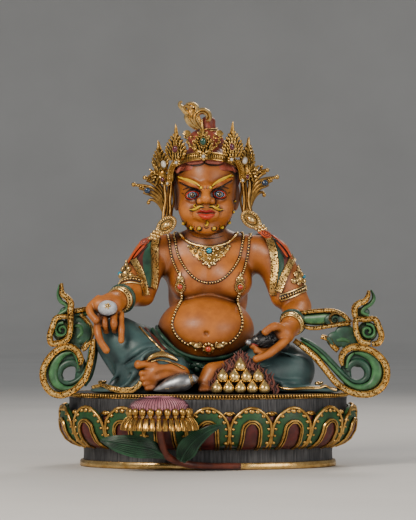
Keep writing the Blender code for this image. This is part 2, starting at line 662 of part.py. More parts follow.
def foot_lotus(collection, cutters, neighbours, finish):
    """The small lotus before the throne that would carry the right foot, its stem and two leaves."""
    centre = Vector((LOTUS_X, -FOOT_DEPTH / 2 - LOTUS_STAND_OFF, LOTUS_UNDERSIDE))
    rise = THRONE_HEIGHT - LOTUS_UNDERSIDE
    rows = ((0.0, 0.5, 0.0), (0.06, 0.98, 0.06), (0.24, 0.98, 0.05), (0.38, 0.80, 0.02), (0.48, 0.87, 0.04))
    rows += ((0.62, 0.86, 0.03), (0.68, 0.74, 0.0), (0.86, 0.58, 0.0), (0.97, 0.30, 0.0))
    columns = LOTUS_PETALS * 2
    bm = bmesh.new()
    grid = []
    for column in range(columns):
        angle = 2 * math.pi * column / columns
        lobe = 1 if column % 2 else -1
        grid.append([])
        for height, swell, scallop in rows:
            radius = LOTUS_RADIUS * (swell + scallop * lobe)
            flat = Vector((radius * math.cos(angle), radius * math.sin(angle) * LOTUS_DEPTH_SHARE, height * rise))
            grid[-1].append(bm.verts.new(centre + flat))
    for left, right in zip(grid, grid[1:] + grid[:1]):
        for row in range(len(rows) - 1):
            bm.faces.new((left[row], right[row], right[row + 1], left[row + 1]))
    bm.faces.new([column[0] for column in reversed(grid)])
    top = bm.verts.new(centre + Vector((0, 0, rise)))
    for left, right in zip(grid, grid[1:] + grid[:1]):
        bm.faces.new((left[-1], right[-1], top))
    bmesh.ops.recalc_face_normals(bm, faces=bm.faces)
    flower = new_object("flower_cutter", bm, cutters, finish)
    bm = bmesh.new()
    front = -FOOT_DEPTH / 2
    stem = [
        centre + Vector((0, 0, 5 * MM)),
        Vector((LOTUS_X + 2 * MM, front - 28 * MM, 24 * MM)),
        Vector((LOTUS_X + 8 * MM, front - 18 * MM, 12 * MM)),
        Vector((LOTUS_X + 22 * MM, front - 9 * MM, 5 * MM)),
        Vector((LOTUS_X + 44 * MM, front - 5.5 * MM, STEM_RADIUS)),
        Vector((LOTUS_X + 70 * MM, front - 4 * MM, STEM_RADIUS)),
    ]
    add_limb(bm, [(point, STEM_RADIUS) for point in smooth_path(stem, 3)], 10)
    left_leaf = ((-92, -99, 27, 1.6), (-78, -104, 24, 7), (-62, -104, 22, 9.5), (-48, -100, 19, 7.5), (-36, -92, 13, 3))
    right_leaf = ((11, -103, 40, 1.6), (0, -104, 35, 4), (-12, -103, 27, 7), (-19, -99, 18, 8.5), (-24, -92, 9, 4))
    for leaf in (left_leaf, right_leaf):
        for x, y, z, half_width in smooth_path(leaf, 4):
            place = Vector((x * MM, front + (y + 72) * MM, z * MM))
            add_ball(bm, place, (half_width * MM, 2.4 * MM, half_width * MM), segments=12, rings=8)
    made = new_object("foot_lotus", bm, collection, finish)
    fuse(made, 1.2 * MM, 1, TRIANGLES["stem_and_leaves"])
    union = made.modifiers.new("flower", "BOOLEAN")
    union.operation = "UNION"
    union.solver = "EXACT"
    union.object = flower
    bake(made)
    bpy.data.objects.remove(flower)
    reach = FOOT_WIDTH
    cut(made, slab("ground_cutter", (-reach, -reach, -reach), (reach, reach, 0.0), cutters, finish))
    keep_clear_of(made, neighbours, cutters)
    return made


def shade_round(obj):
    obj.data.shade_smooth()
    obj.data.set_sharp_from_angle(angle=math.radians(50))


def main():
    clear_scene()
    statue = make_collection("jambhala_statue")
    cutters = make_collection("cutters")
    paint = {
        "skin": material("ochre_paint_on_copper", (0.42, 0.16, 0.03), 0.45),
        "gilt": material("antique_gilding", (0.63, 0.40, 0.12), 0.35, 0.9),
        "throne": material("painted_throne", (0.08, 0.11, 0.07), 0.55),
        "scarf": material("green_scarf_paint", (0.05, 0.17, 0.06), 0.5),
        "silver": material("silvered_shell", (0.50, 0.50, 0.50), 0.35, 0.8),
        "fur": material("grey_fur_paint", (0.06, 0.06, 0.07), 0.5),
        "leaf": material("leaf_green_paint", (0.03, 0.13, 0.06), 0.5),
    }
    throne = lotus_throne(statue, paint["throne"])
    figure = seated_figure(statue, cutters, paint["skin"])
    diadem = crown(statue, cutters, figure, paint["gilt"])
    hair_jewel(statue, cutters, figure, paint["gilt"])
    for name, side in (("earring_right", -1), ("earring_left", 1)):
        earring(name, side, statue, cutters, [figure, diadem], paint["gilt"])
    for name, side, strands in (("scarf_scroll_right", -1, RIGHT_SCROLL), ("scarf_scroll_left", 1, LEFT_SCROLL)):
        scarf_scroll(name, side, strands, statue, cutters, [figure, throne], paint["scarf"])
    mongoose(statue, cutters, [figure], paint["fur"])
    shell = conch(statue, cutters, [figure], paint["silver"])
    jewel_pile(statue, cutters, [figure, shell], paint["gilt"])
    foot_lotus(statue, cutters, [throne], paint["leaf"])
    for obj in statue.objects:
        shade_round(obj)


main()
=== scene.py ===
"""A painted and gilded statue of the wealth god Jambhala on a lotus throne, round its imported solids.

Everything is drawn in millimetres and made into metres as each mesh is built. The figure faces -Y and its
right hand is at -X. Each operator makes one group of like pieces, and main() runs them in order.
"""

import math

import bpy
import numpy as np
from mathutils import Euler, Matrix, Vector
from mathutils.bvhtree import BVHTree


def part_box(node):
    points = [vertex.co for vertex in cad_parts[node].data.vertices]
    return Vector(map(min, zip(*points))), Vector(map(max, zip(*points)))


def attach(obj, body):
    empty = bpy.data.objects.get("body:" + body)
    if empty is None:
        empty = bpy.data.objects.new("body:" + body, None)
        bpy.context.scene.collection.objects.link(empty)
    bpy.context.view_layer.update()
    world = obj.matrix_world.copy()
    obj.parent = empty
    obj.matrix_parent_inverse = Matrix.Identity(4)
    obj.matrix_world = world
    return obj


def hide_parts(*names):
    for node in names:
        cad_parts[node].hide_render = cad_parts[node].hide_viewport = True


bl_info = {
    "name": "Jambhala Statue",
    "version": (1, 0, 0),
    "blender": (4, 5, 0),
    "location": "3D View > Sidebar > Statue",
    "description": "Builds a painted and gilded seated statue on its lotus throne",
    "category": "Add Mesh",
}

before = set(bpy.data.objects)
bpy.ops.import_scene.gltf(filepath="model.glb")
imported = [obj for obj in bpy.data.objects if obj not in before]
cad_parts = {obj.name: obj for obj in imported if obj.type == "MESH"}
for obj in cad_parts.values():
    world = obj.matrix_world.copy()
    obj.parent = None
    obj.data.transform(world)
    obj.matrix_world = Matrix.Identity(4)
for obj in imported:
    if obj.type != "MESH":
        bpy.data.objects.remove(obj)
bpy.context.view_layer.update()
MM = 0.001
_, THRONE_HIGH = (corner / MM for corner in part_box("lotus_throne"))
PLATE = THRONE_HIGH.z
PETAL_REACH = 20.0
FOOT_HALF_WIDTH = THRONE_HIGH.x - PETAL_REACH + 2.6
FOOT_HALF_DEPTH = THRONE_HIGH.y - PETAL_REACH + 0.5
ALL_PIECES = "root"


# Clay: distance fields that melt together, and their skins


class Clay:
    """A distance field on a grid, built up from balls, limbs and folds that melt into each other."""

    def __init__(self, low, high, step):
        self.low = np.array(low, float)
        self.step = step
        self.size = np.ceil((np.array(high, float) - self.low) / step).astype(int) + 1
        self.field = np.full(self.size, 30.0, np.float32)
        self.axes = [(self.low[i] + step * np.arange(self.size[i])).astype(np.float32) for i in range(3)]

    def block(self, low, high):
        first = np.clip(np.floor((np.array(low) - self.low) / self.step).astype(int), 0, self.size)
        last = np.clip(np.ceil((np.array(high) - self.low) / self.step).astype(int) + 1, 0, self.size)
        part = tuple(slice(a, b) for a, b in zip(first, last))
        x, y, z = (axis[s] for axis, s in zip(self.axes, part))
        return part, x[:, None, None], y[None, :, None], z[None, None, :]

    def merge(self, part, distance, melt, carve):
        old = self.field[part]
        if old.size == 0:
            return
        if carve:
            blend = np.maximum(melt - np.abs(old + distance), 0) / melt
            self.field[part] = np.maximum(old, -distance) + blend * blend * melt / 4
        else:
            blend = np.maximum(melt - np.abs(old - distance), 0) / melt
            self.field[part] = np.minimum(old, distance) - blend * blend * melt / 4

    def ball(self, centre, radii, turn=(0, 0, 0), melt=4.0, carve=False):
        """An ellipsoid with its radii along its own axes, turned by degrees about X, Y and Z."""
        radii = np.array((radii,) * 3 if np.isscalar(radii) else radii, float)
        reach = radii.max() + melt + 3 * self.step
        part, x, y, z = self.block(np.array(centre) - reach, np.array(centre) + reach)
        back = np.array(Euler([math.radians(a) for a in turn]).to_matrix().inverted())
        x, y, z = x - centre[0], y - centre[1], z - centre[2]
        local = [back[i, 0] * x + back[i, 1] * y + back[i, 2] * z for i in range(3)]
        near = np.sqrt(sum((c / r) ** 2 for c, r in zip(local, radii)))
        steep = np.sqrt(sum((c / r**2) ** 2 for c, r in zip(local, radii))) + 1e-9
        self.merge(part, near * (near - 1) / steep, melt, carve)

    def limb(self, *stations, melt=4.0, carve=False):
        """A round limb through (x, y, z, radius) stations."""
        s = np.array(stations, float)
        reach = s[:, 3].max() + melt + 3 * self.step
        part, x, y, z = self.block(s[:, :3].min(0) - reach, s[:, :3].max(0) + reach)
        distance = None
        for a, b in zip(s, s[1:]):
            along = b[:3] - a[:3]
            share = ((x - a[0]) * along[0] + (y - a[1]) * along[1] + (z - a[2]) * along[2]) / (along @ along)
            share = np.clip(share, 0, 1)
            gap = (x - a[0] - share * along[0]) ** 2 + (y - a[1] - share * along[1]) ** 2
            gap = np.sqrt(gap + (z - a[2] - share * along[2]) ** 2) - (a[3] + share * (b[3] - a[3]))
            distance = gap if distance is None else np.minimum(distance, gap)
        self.merge(part, distance, melt, carve)

    def fold(self, points, radius, melt=3.0, carve=False, steps=4):
        """A soft ridge, or a groove where it carves, along a smooth path that thins out at both ends."""
        path = curve(points, steps)
        thin = np.sin(np.linspace(0.12, math.pi - 0.12, len(path))) ** 0.6
        self.limb(*np.column_stack([path, radius * thin]), melt=melt, carve=carve)

    def cut_below(self, height, melt=1.0):
        part, x, y, z = self.block(self.low, self.low + self.size * self.step)
        self.merge(part, (z - height) + 0 * x + 0 * y, melt, True)

    def sample(self, points):
        """The field and its slope at points."""
        place = np.clip((points - self.low) / self.step, 0, self.size - 1.001)
        base = place.astype(int)
        t = (place - base).astype(np.float32)
        i, j, k = base.T
        c = [self.field[i + a, j + b, k + d] for a in (0, 1) for b in (0, 1) for d in (0, 1)]
        u, v, w = t.T
        x0 = [c[n] * (1 - u) + c[n + 4] * u for n in range(4)]
        y0, y1 = x0[0] * (1 - v) + x0[2] * v, x0[1] * (1 - v) + x0[3] * v
        slope_x = sum((c[n + 4] - c[n]) * wy * wz for n, wy, wz in
                      ((0, 1 - v, 1 - w), (1, 1 - v, w), (2, v, 1 - w), (3, v, w)))
        slope_y = (x0[2] - x0[0]) * (1 - w) + (x0[3] - x0[1]) * w
        return y0 * (1 - w) + y1 * w, np.column_stack([slope_x, slope_y, y1 - y0]) / self.step

    def skin(self):
        """The field's surface as points and four-sided faces, its points settled on the surface."""
        inside = self.field < 0
        corners = [(a, b, c) for a in (0, 1) for b in (0, 1) for c in (0, 1)]
        n = self.size - 1
        count = sum(inside[a:a + n[0], b:b + n[1], c:c + n[2]].astype(np.int8) for a, b, c in corners)
        cells = np.argwhere((count > 0) & (count < 8))
        value = np.array([self.field[tuple((cells + c).T)] for c in corners])
        total, hits = np.zeros((len(cells), 3)), np.zeros(len(cells))
        for p in range(8):
            for axis in range(3):
                if corners[p][axis]:
                    continue
                q = p + (4, 2, 1)[axis]
                cross = (value[p] < 0) != (value[q] < 0)
                share = value[p][cross] / (value[p][cross] - value[q][cross])
                point = np.tile(np.array(corners[p], float), (cross.sum(), 1))
                point[:, axis] += share
                total[cross] += point
                hits[cross] += 1
        points = self.low + self.step * (cells + total / hits[:, None])
        index = np.full(tuple(n), -1, np.int32)
        index[tuple(cells.T)] = np.arange(len(cells))
        faces = []
        for axis in range(3):
            u, v = (axis + 1) % 3, (axis + 2) % 3
            ahead = np.roll(inside, -1, axis)
            flips = np.argwhere((inside != ahead) & (np.arange(self.size[axis]).reshape(
                [-1 if a == axis else 1 for a in range(3)]) < self.size[axis] - 1))
            flips = flips[(flips[:, u] > 0) & (flips[:, v] > 0) & (flips[:, u] < n[u]) & (flips[:, v] < n[v])]
            ring = []
            for du, dv in ((1, 1), (0, 1), (0, 0), (1, 0)):
                cell = flips.copy()
                cell[:, u] -= du
                cell[:, v] -= dv
                ring.append(index[tuple(cell.T)])
            quads = np.column_stack(ring)
            back = ~inside[tuple(flips.T)]
            quads[back] = quads[back][:, ::-1]
            faces.append(quads)
        for _ in range(2):
            distance, slope = self.sample(points)
            length = np.maximum((slope**2).sum(1), 0.2)
            points -= np.clip(distance / length, -0.5 * self.step, 0.5 * self.step)[:, None] * slope
        return points, np.concatenate(faces)


# Mesh helpers, in millimetres


def curve(points, steps):
    """A Catmull-Rom curve through points, with this many steps between each two."""
    p = np.array(points, float)
    p = np.concatenate([[2 * p[0] - p[1]], p, [2 * p[-1] - p[-2]]])
    t = (np.arange(steps) / steps)[:, None]
    rows = []
    for a, b, c, d in zip(p, p[1:], p[2:], p[3:]):
        rows.append(0.5 * (
            2 * b + (c - a) * t + (2 * a - 5 * b + 4 * c - d) * t**2 + (3 * b - a - 3 * c + d) * t**3))
    return np.concatenate([*rows, p[-2:-1]])


def even(path, gap):
    """The path with its points at even lengths of about gap, measured on its first three columns."""
    path = np.array(path, float)
    run = np.concatenate([[0], np.cumsum(np.linalg.norm(np.diff(path[:, :3], axis=0), axis=1))])
    count = max(2, int(round(run[-1] / gap)) + 1)
    where = np.linspace(0, run[-1], count)
    return np.column_stack([np.interp(where, run, column) for column in path.T])


def unit(vectors):
    return vectors / np.maximum(np.linalg.norm(vectors, axis=-1, keepdims=True), 1e-9)


class Heap:
    """Points and faces gathered for one mesh."""

    def __init__(self):
        self.points, self.faces, self.count = [], [], 0

    def add(self, points, faces):
        points = np.array(points, float)
        self.points.append(points)
        for f in faces if isinstance(faces, list) else [faces]:
            if len(f):
                self.faces.append(np.array(f, int) + self.count)
        self.count += len(points)

    def grid(self, rows, closed_u=False, closed_v=False, cap=False):
        """A grid of points. closed_u joins last row to first, closed_v last column to first."""
        rows = np.array(rows, float)
        r, c = rows.shape[:2]
        u, v = np.meshgrid(np.arange(r if closed_u else r - 1), np.arange(c if closed_v else c - 1),
                           indexing="ij")
        u, v = u.ravel(), v.ravel()
        u2, v2 = (u + 1) % r, (v + 1) % c
        quads = np.column_stack([u * c + v, u * c + v2, u2 * c + v2, u2 * c + v])
        points, faces = rows.reshape(-1, 3), [quads]
        if cap:
            points = np.concatenate([points, [rows[0].mean(0)], [rows[-1].mean(0)]])
            k = np.arange(c)
            faces.append(np.column_stack([np.full(c, r * c), (k + 1) % c, k]))
            faces.append(np.column_stack([np.full(c, r * c + 1), (r - 1) * c + k, (r - 1) * c + (k + 1) % c]))
        self.add(points, faces)

    def strand(self, path, width, height, face=(0, -1, 0), section="round", sides=8, closed=False):
        """A strand, its width across the path and its height along face. Sizes may vary along it."""
        path = np.array(path, float)
        n = len(path)
        if closed:
            along = unit(np.roll(path, -1, 0) - np.roll(path, 1, 0))
        else:
            along = unit(np.gradient(path, axis=0))
        face = np.broadcast_to(np.array(face, float), (n, 3))
        side = unit(np.cross(along, face))
        up = unit(np.cross(side, along))
        a = 2 * math.pi * np.arange(sides) / sides
        across, rise = np.cos(a), np.sin(a)
        if section == "band":
            across = np.array([1, 1, 0.78, 0.5, 0, -0.5, -0.78, -1, -1, 0], float)
            rise = np.array([-0.6, 0.8, 1.0, 0.55, 0.62, 0.55, 1.0, 0.8, -0.6, -0.8], float)
        elif section == "flat":
            across = np.array([1, 1, 0.8, 0, -0.8, -1, -1, 0], float)
            rise = np.array([-0.6, 0.5, 0.9, 1, 0.9, 0.5, -0.6, -0.7], float)
        width = np.broadcast_to(np.array(width, float), n)[:, None, None] / 2
        height = np.broadcast_to(np.array(height, float), n)[:, None, None] / 2
        rings = path[:, None, :] + width * across[None, :, None] * side[:, None, :]
        rings = rings + height * rise[None, :, None] * up[:, None, :]
        self.grid(rings, closed_u=closed, closed_v=True, cap=not closed)

    def ball(self, centre, radii, turn=None, sides=12, rings=8):
        radii = np.array((radii,) * 3 if np.isscalar(radii) else radii, float)
        lat = np.linspace(-math.pi / 2, math.pi / 2, rings + 1)[1:-1]
        lon = 2 * math.pi * np.arange(sides) / sides
        shell = np.stack([np.cos(lat)[:, None] * np.cos(lon), np.cos(lat)[:, None] * np.sin(lon),
                          np.sin(lat)[:, None] + 0 * lon], -1)
        points = np.concatenate([shell.reshape(-1, 3), [[0, 0, -1]], [[0, 0, 1]]]) * radii
        if turn is not None:
            points = points @ np.array(Euler([math.radians(a) for a in turn]).to_matrix()).T
        r, k = len(lat), np.arange(sides)
        u, v = np.meshgrid(np.arange(r - 1), k, indexing="ij")
        u, v = u.ravel(), v.ravel()
        quads = np.column_stack([u * sides + v, u * sides + (v + 1) % sides,
                                 (u + 1) * sides + (v + 1) % sides, (u + 1) * sides + v])
        low = np.column_stack([np.full(sides, r * sides), (k + 1) % sides, k])
        high = np.column_stack(
            [np.full(sides, r * sides + 1), (r - 1) * sides + k, (r - 1) * sides + (k + 1) % sides])
        self.add(points + np.array(centre, float), [quads, low, high])

    def turned(self, profile, centre, sides=32, axis=None):
        """A closed shape turned round Z from (radius, height) points, bottom to top."""
        a = 2 * math.pi * np.arange(sides) / sides
        rings = [[(r * math.cos(t), r * math.sin(t), h) for t in a] for r, h in profile]
        rings = np.array(rings)
        if axis is not None:
            turn = Vector((0, 0, 1)).rotation_difference(Vector(axis)).to_matrix()
            rings = rings @ np.array(turn).T
        self.grid(rings + np.array(centre, float), closed_v=True, cap=True)

    def placed(self, other, matrix):
        """Everything in another heap, moved by a 4 by 4 matrix."""
        m = np.array(matrix)
        base = self.count
        for p in other.points:
            self.points.append(p @ m[:3, :3].T + m[:3, 3])
        flip = np.linalg.det(m[:3, :3]) < 0
        for f in other.faces:
            self.faces.append((f[:, ::-1] if flip else f) + base)
        self.count += other.count


def make_mesh(name, points, faces, finish, attributes=None):
    """A mesh object from millimetre points and arrays of faces, with one material and float attributes."""
    faces = faces if isinstance(faces, list) else [faces]
    mesh = bpy.data.meshes.new(name)
    mesh.vertices.add(len(points))
    mesh.vertices.foreach_set("co", (np.array(points) * MM).astype(np.float32).ravel())
    sizes = np.concatenate([np.full(len(f), f.shape[1]) for f in faces])
    mesh.loops.add(int(sizes.sum()))
    mesh.loops.foreach_set("vertex_index", np.concatenate([f.ravel() for f in faces]).astype(np.int32))
    mesh.polygons.add(len(sizes))
    mesh.polygons.foreach_set("loop_start", np.concatenate([[0], np.cumsum(sizes)[:-1]]).astype(np.int32))
    mesh.update(calc_edges=True)
    mesh.validate()
    for key, values in (attributes or {}).items():
        mesh.attributes.new(key, "FLOAT", "POINT").data.foreach_set("value", np.array(values, np.float32))
    mesh.materials.append(finish)
    mesh.shade_smooth()
    obj = bpy.data.objects.new(name, mesh)
    bpy.context.scene.collection.objects.link(obj)
    return obj


def hand_over(obj, *nodes, slot=None):
    """The finished piece rides on the root body and stands for its nodes, which are hidden. Its slot is not
    used.
    """
    if nodes:
        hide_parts(*nodes)
    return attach(obj, ALL_PIECES)


def heap_piece(name, heap, finish, *nodes, slot=None, attributes=None, sharp=50):
    obj = make_mesh(name, np.concatenate(heap.points), heap.faces, finish, attributes)
    obj.data.set_sharp_from_angle(angle=math.radians(sharp))
    return hand_over(obj, *nodes, slot=slot)


SURFACES = {}


def remember(name, points, faces):
    """Keeps a surface so that ornaments can be laid on it."""
    SURFACES[name] = (points, faces)


def surface(*names):
    """One search tree over remembered surfaces."""
    points, faces, count = [], [], 0
    for name in names:
        p, f = SURFACES[name]
        points.append(p)
        faces += (f + count).tolist()
        count += len(p)
    return BVHTree.FromPolygons(np.concatenate(points).tolist(), faces)


def front(tree, x, z, fallback=-20.0, start=-160.0):
    """Where a point (x, z) of the front view lies on a surface, with the normal there. A point just past the
    edge is drawn in to it."""
    for _ in range(12):
        hit, normal, _, _ = tree.ray_cast(Vector((x, start, z)), Vector((0, 1, 0)))
        if hit is not None:
            return np.array(hit), np.array(normal)
        x -= math.copysign(0.5, x)
    return np.array((x, fallback, z)), np.array((0.0, -1.0, 0.0))


def lay_path(tree, points, gap=2.0, lift=0.0, start=-160.0, soften=2):
    """A smooth path laid on a surface as seen from the front. Returns its points and outward normals."""
    flat = curve(points, 8)
    flat = even(np.column_stack([flat[:, 0], 0 * flat[:, 0], flat[:, 1]]), gap)
    hits, normals, last = [], [], None
    for x, _, z in flat:
        hit, normal = front(tree, x, z, fallback=last if last is not None else -20.0, start=start)
        last = hit[1]
        hits.append(hit)
        normals.append(normal)
    hits, normals = np.array(hits), unit(np.array(normals))
    for _ in range(soften):
        hits[1:-1, 1] = (hits[:-2, 1] + 2 * hits[1:-1, 1] + hits[2:, 1]) / 4
        normals[1:-1] = unit(normals[:-2] + 2 * normals[1:-1] + normals[2:])
    return hits + normals * lift, normals



def over(tree, before, points, after, gap=1.0, lift=0.5):
    """A path over the front view's (x, z) points that runs on round the body, near points in space. Returns
    the path and its outward normals."""
    middle, _ = lay_path(tree, points, gap)
    parts = [curve(list(before) + [middle[0]], 8)[:-1]] if before else []
    parts.append(middle)
    parts += [curve([middle[-1]] + list(after), 8)[1:]] if after else []
    path, normals = [], []
    for guide in even(np.concatenate(parts), gap):
        hit, normal, _, _ = tree.find_nearest(Vector(guide))
        path.append(hit)
        normals.append(normal)
    path, normals = np.array(path), np.array(normals)
    for _ in range(3):
        path[1:-1] = (path[:-2] + 2 * path[1:-1] + path[2:]) / 4
        normals[1:-1] = unit(normals[:-2] + 2 * normals[1:-1] + normals[2:])
    return path + normals * lift, normals


def cling(heap, tree, path, normals, width, thick, columns=7, section="band", reach=9.0, skirt=1.2):
    """Cloth or sheet that clings to a surface along a path, with a raised edge where it is a band."""
    n = len(path)
    along = unit(np.gradient(path, axis=0))
    side = unit(np.cross(along, normals))
    width = np.broadcast_to(np.array(width, float), n)
    thick = np.broadcast_to(np.array(thick, float), n)
    across = np.linspace(-1, 1, columns)
    swells = {"band": 0.72 + 0.28 * np.abs(across) ** 3, "cloth": 1 - 0.45 * across**2,
              "flat": 1 + 0 * across}
    swell = swells[section]
    depths = np.zeros((n, columns))
    for i in range(n):
        for j, a in enumerate(across):
            start = path[i] + side[i] * a * width[i] / 2 + normals[i] * reach
            hit, _, _, distance = tree.ray_cast(Vector(start), Vector(-normals[i]), reach * 2)
            depths[i, j] = np.nan if hit is None else reach - distance
    for j in range(columns):
        column = depths[:, j]
        known = ~np.isnan(column)
        if known.any():
            column[~known] = np.interp(np.flatnonzero(~known), np.flatnonzero(known), column[known])
        else:
            column[:] = 0
    for _ in range(2):
        depths[1:-1] = (depths[:-2] + 2 * depths[1:-1] + depths[2:]) / 4
    base = path[:, None] + side[:, None] * (across[None, :, None] * width[:, None, None] / 2)
    base = base + normals[:, None] * depths[..., None]
    top = base + normals[:, None] * (thick[:, None] * swell[None, :])[..., None]
    low = base[:, ::-1] - normals[:, None] * skirt
    heap.grid(np.concatenate([top, low], 1), closed_v=True, cap=True)


# Materials


def linear(code):
    """An sRGB hex colour as linear light."""
    out = []
    for start in (1, 3, 5):
        c = int(code[start:start + 2], 16) / 255
        out.append(c / 12.92 if c <= 0.04045 else ((c + 0.055) / 1.055) ** 2.4)
    return (*out, 1.0)


def add(tree, kind, settings=None, **links):
    """A node with its settings and its inputs. An input is a socket to link, or a value to set."""
    node = tree.nodes.new(kind)
    for key, value in (settings or {}).items():
        setattr(node, key, value)
    for key, value in links.items():
        numbered = key[0] == "i" and key[1:].isdigit()
        socket = node.inputs[int(key[1:]) if numbered else key.replace("_", " ")]
        if isinstance(value, bpy.types.NodeSocket):
            tree.links.new(value, socket)
        else:
            socket.default_value = value
    return node


def ramp(tree, factor, *stops):
    """A colour ramp through (place, linear colour) stops."""
    node = add(tree, "ShaderNodeValToRGB", Fac=factor)
    while len(node.color_ramp.elements) < len(stops):
        node.color_ramp.elements.new(0.5)
    for element, (place, colour) in zip(node.color_ramp.elements, stops):
        element.position = place
        element.color = colour if len(colour) == 4 else (*colour, 1)
    return node.outputs["Color"]


def blend(tree, factor, low, high):
    """Two colours mixed."""
    node = add(tree, "ShaderNodeMix", {"data_type": "RGBA"})
    for socket, value in ((node.inputs[0], factor), (node.inputs[6], low), (node.inputs[7], high)):
        if isinstance(value, bpy.types.NodeSocket):
            tree.links.new(value, socket)
        else:
            socket.default_value = value
    return node.outputs[2]


def between(tree, value, low, high, to_low=0.0, to_high=1.0):
    node = add(tree, "ShaderNodeMapRange", None, Value=value)
    for name, number in (("From Min", low), ("From Max", high), ("To Min", to_low), ("To Max", to_high)):
        node.inputs[name].default_value = number
    return node.outputs[0]


def new_material(name, roughness, metallic=0.0):
    """A material of one shader. Returns the material, its tree, the shader and the place on the object."""
    made = bpy.data.materials.new(name)
    made.use_nodes = True
    tree = made.node_tree
    shader = tree.nodes["Principled BSDF"]
    shader.inputs["Roughness"].default_value = roughness
    shader.inputs["Metallic"].default_value = metallic
    place = add(tree, "ShaderNodeTexCoord").outputs["Object"]
    return made, tree, shader, place


def noise(tree, place, size_mm, detail=3.0, rough=0.55):
    """Noise whose features are about this many millimetres across."""
    node = add(tree, "ShaderNodeTexNoise", None, Vector=place, Scale=1000 / size_mm, Detail=detail,
               Roughness=rough)
    return node.outputs["Fac"]


def bump(tree, shader, height, distance_mm, strength=1.0, under=None):
    node = add(tree, "ShaderNodeBump", None, Height=height, Strength=strength, Distance=distance_mm * MM)
    if under is not None:
        tree.links.new(under, node.inputs["Normal"])
    tree.links.new(node.outputs["Normal"], shader.inputs["Normal"])
    return node.outputs["Normal"]


def crevice(tree, reach_mm=3.0, low=0.35, high=0.85):
    """How open the surface is, by ambient occlusion: 0 deep in a recess, 1 on the open. The finishes paint
    shade by it.
    """
    shade = add(tree, "ShaderNodeAmbientOcclusion", {"samples": 8, "only_local": False},
                Distance=reach_mm * MM)
    return between(tree, shade.outputs["AO"], low, high)


def paint(name, light, dark, wash_and_shade, roughness=0.42, coat=0.25, mottle_mm=9.0, grain_mm=0.7, wash_and_shade_reach=3.0,
          shade=None):
    """Mineral paint on cast copper, with its mottle and grain. Occlusion darkens it in the recesses: partly
    the dark oil rubbed into them, partly painted shade.
    """
    made, tree, shader, place = new_material(name, roughness)
    tone = blend(tree, between(tree, noise(tree, place, mottle_mm), 0.32, 0.68), linear(dark), linear(light))
    grain = noise(tree, place, grain_mm, 2.0)
    tone = blend(tree, between(tree, grain, 0.3, 0.7, 0.0, 0.22), tone, linear(dark))
    # Painted shade: with a shade colour, a wide occlusion darkens the larger hollows, such as the neck,
    # armpits and under the chest.
    if shade:
        tone = blend(tree, crevice(tree, 24.0, 0.32, 1.0), linear(shade), tone)
    # Dark oil in the recesses, and painted shade there, by a short occlusion.
    open_unshaded = crevice(tree, wash_and_shade_reach)
    tree.links.new(blend(tree, open_unshaded, linear(wash_and_shade), tone), shader.inputs["Base Color"])
    tree.links.new(between(tree, grain, 0.3, 0.7, roughness - 0.06, roughness + 0.1),
                   shader.inputs["Roughness"])
    shader.inputs["Coat Weight"].default_value = coat
    shader.inputs["Coat Roughness"].default_value = 0.3
    bump(tree, shader, grain, 0.05, 0.5)
    return made


def gilding(name, bright="#E9C27A", deep="#B98A3E", wash_and_shade="#24150A", roughness=0.3, pitted=False,
            reach_mm=2.2):
    """Fire gilding on copper, rubbed back and antiqued: bright where it stands out, and dark in the recesses
    by occlusion, partly antiquing and partly painted shade.
    Pitted gilding has the pricked ground of a chased brocade, its pits about 1.6 mm apart."""
    made, tree, shader, place = new_material(name, roughness, 1.0)
    wear = noise(tree, place, 5.0)
    tone = blend(tree, between(tree, wear, 0.3, 0.7), linear(deep), linear(bright))
    height = noise(tree, place, 0.9, 2.0)
    if pitted:
        cells = add(tree, "ShaderNodeTexVoronoi", {"feature": "F1"}, Vector=place, Scale=1000 / 1.6,
                    Randomness=1.0)
        pits = between(tree, cells.outputs["Distance"], 0.27, 0.42)
        tone = blend(tree, pits, linear("#3A200C"), tone)
        relief = add(tree, "ShaderNodeMath", {"operation": "MULTIPLY_ADD"}, i0=pits, i1=3.0, i2=height)
        height = relief.outputs[0]
    # Dark antiquing in the recesses and painted shade there, by occlusion; it also roughens and dulls the
    # metal there.
    open_unshaded = crevice(tree, reach_mm, 0.3, 0.8)
    tree.links.new(blend(tree, open_unshaded, linear(wash_and_shade), tone), shader.inputs["Base Color"])
    rough = between(tree, open_unshaded, 0.0, 1.0, 0.75, roughness)
    tree.links.new(rough, shader.inputs["Roughness"])
    tree.links.new(between(tree, open_unshaded, 0.0, 0.6, 0.35, 1.0), shader.inputs["Metallic"])
    bump(tree, shader, height, 0.3 if pitted else 0.06, 0.9 if pitted else 0.35)
    return made


def stone(name, light, dark, roughness=0.12):
    """A polished cabochon of coral, turquoise or glass, with a faint cloud in it."""
    made, tree, shader, place = new_material(name, roughness)
    tone = blend(tree, between(tree, noise(tree, place, 2.2), 0.35, 0.65), linear(dark), linear(light))
    tree.links.new(tone, shader.inputs["Base Color"])
    shader.inputs["Coat Weight"].default_value = 0.6
    shader.inputs["Coat Roughness"].default_value = 0.08
    return made


MATERIALS = {}


def finish(name):
    return MATERIALS[name]


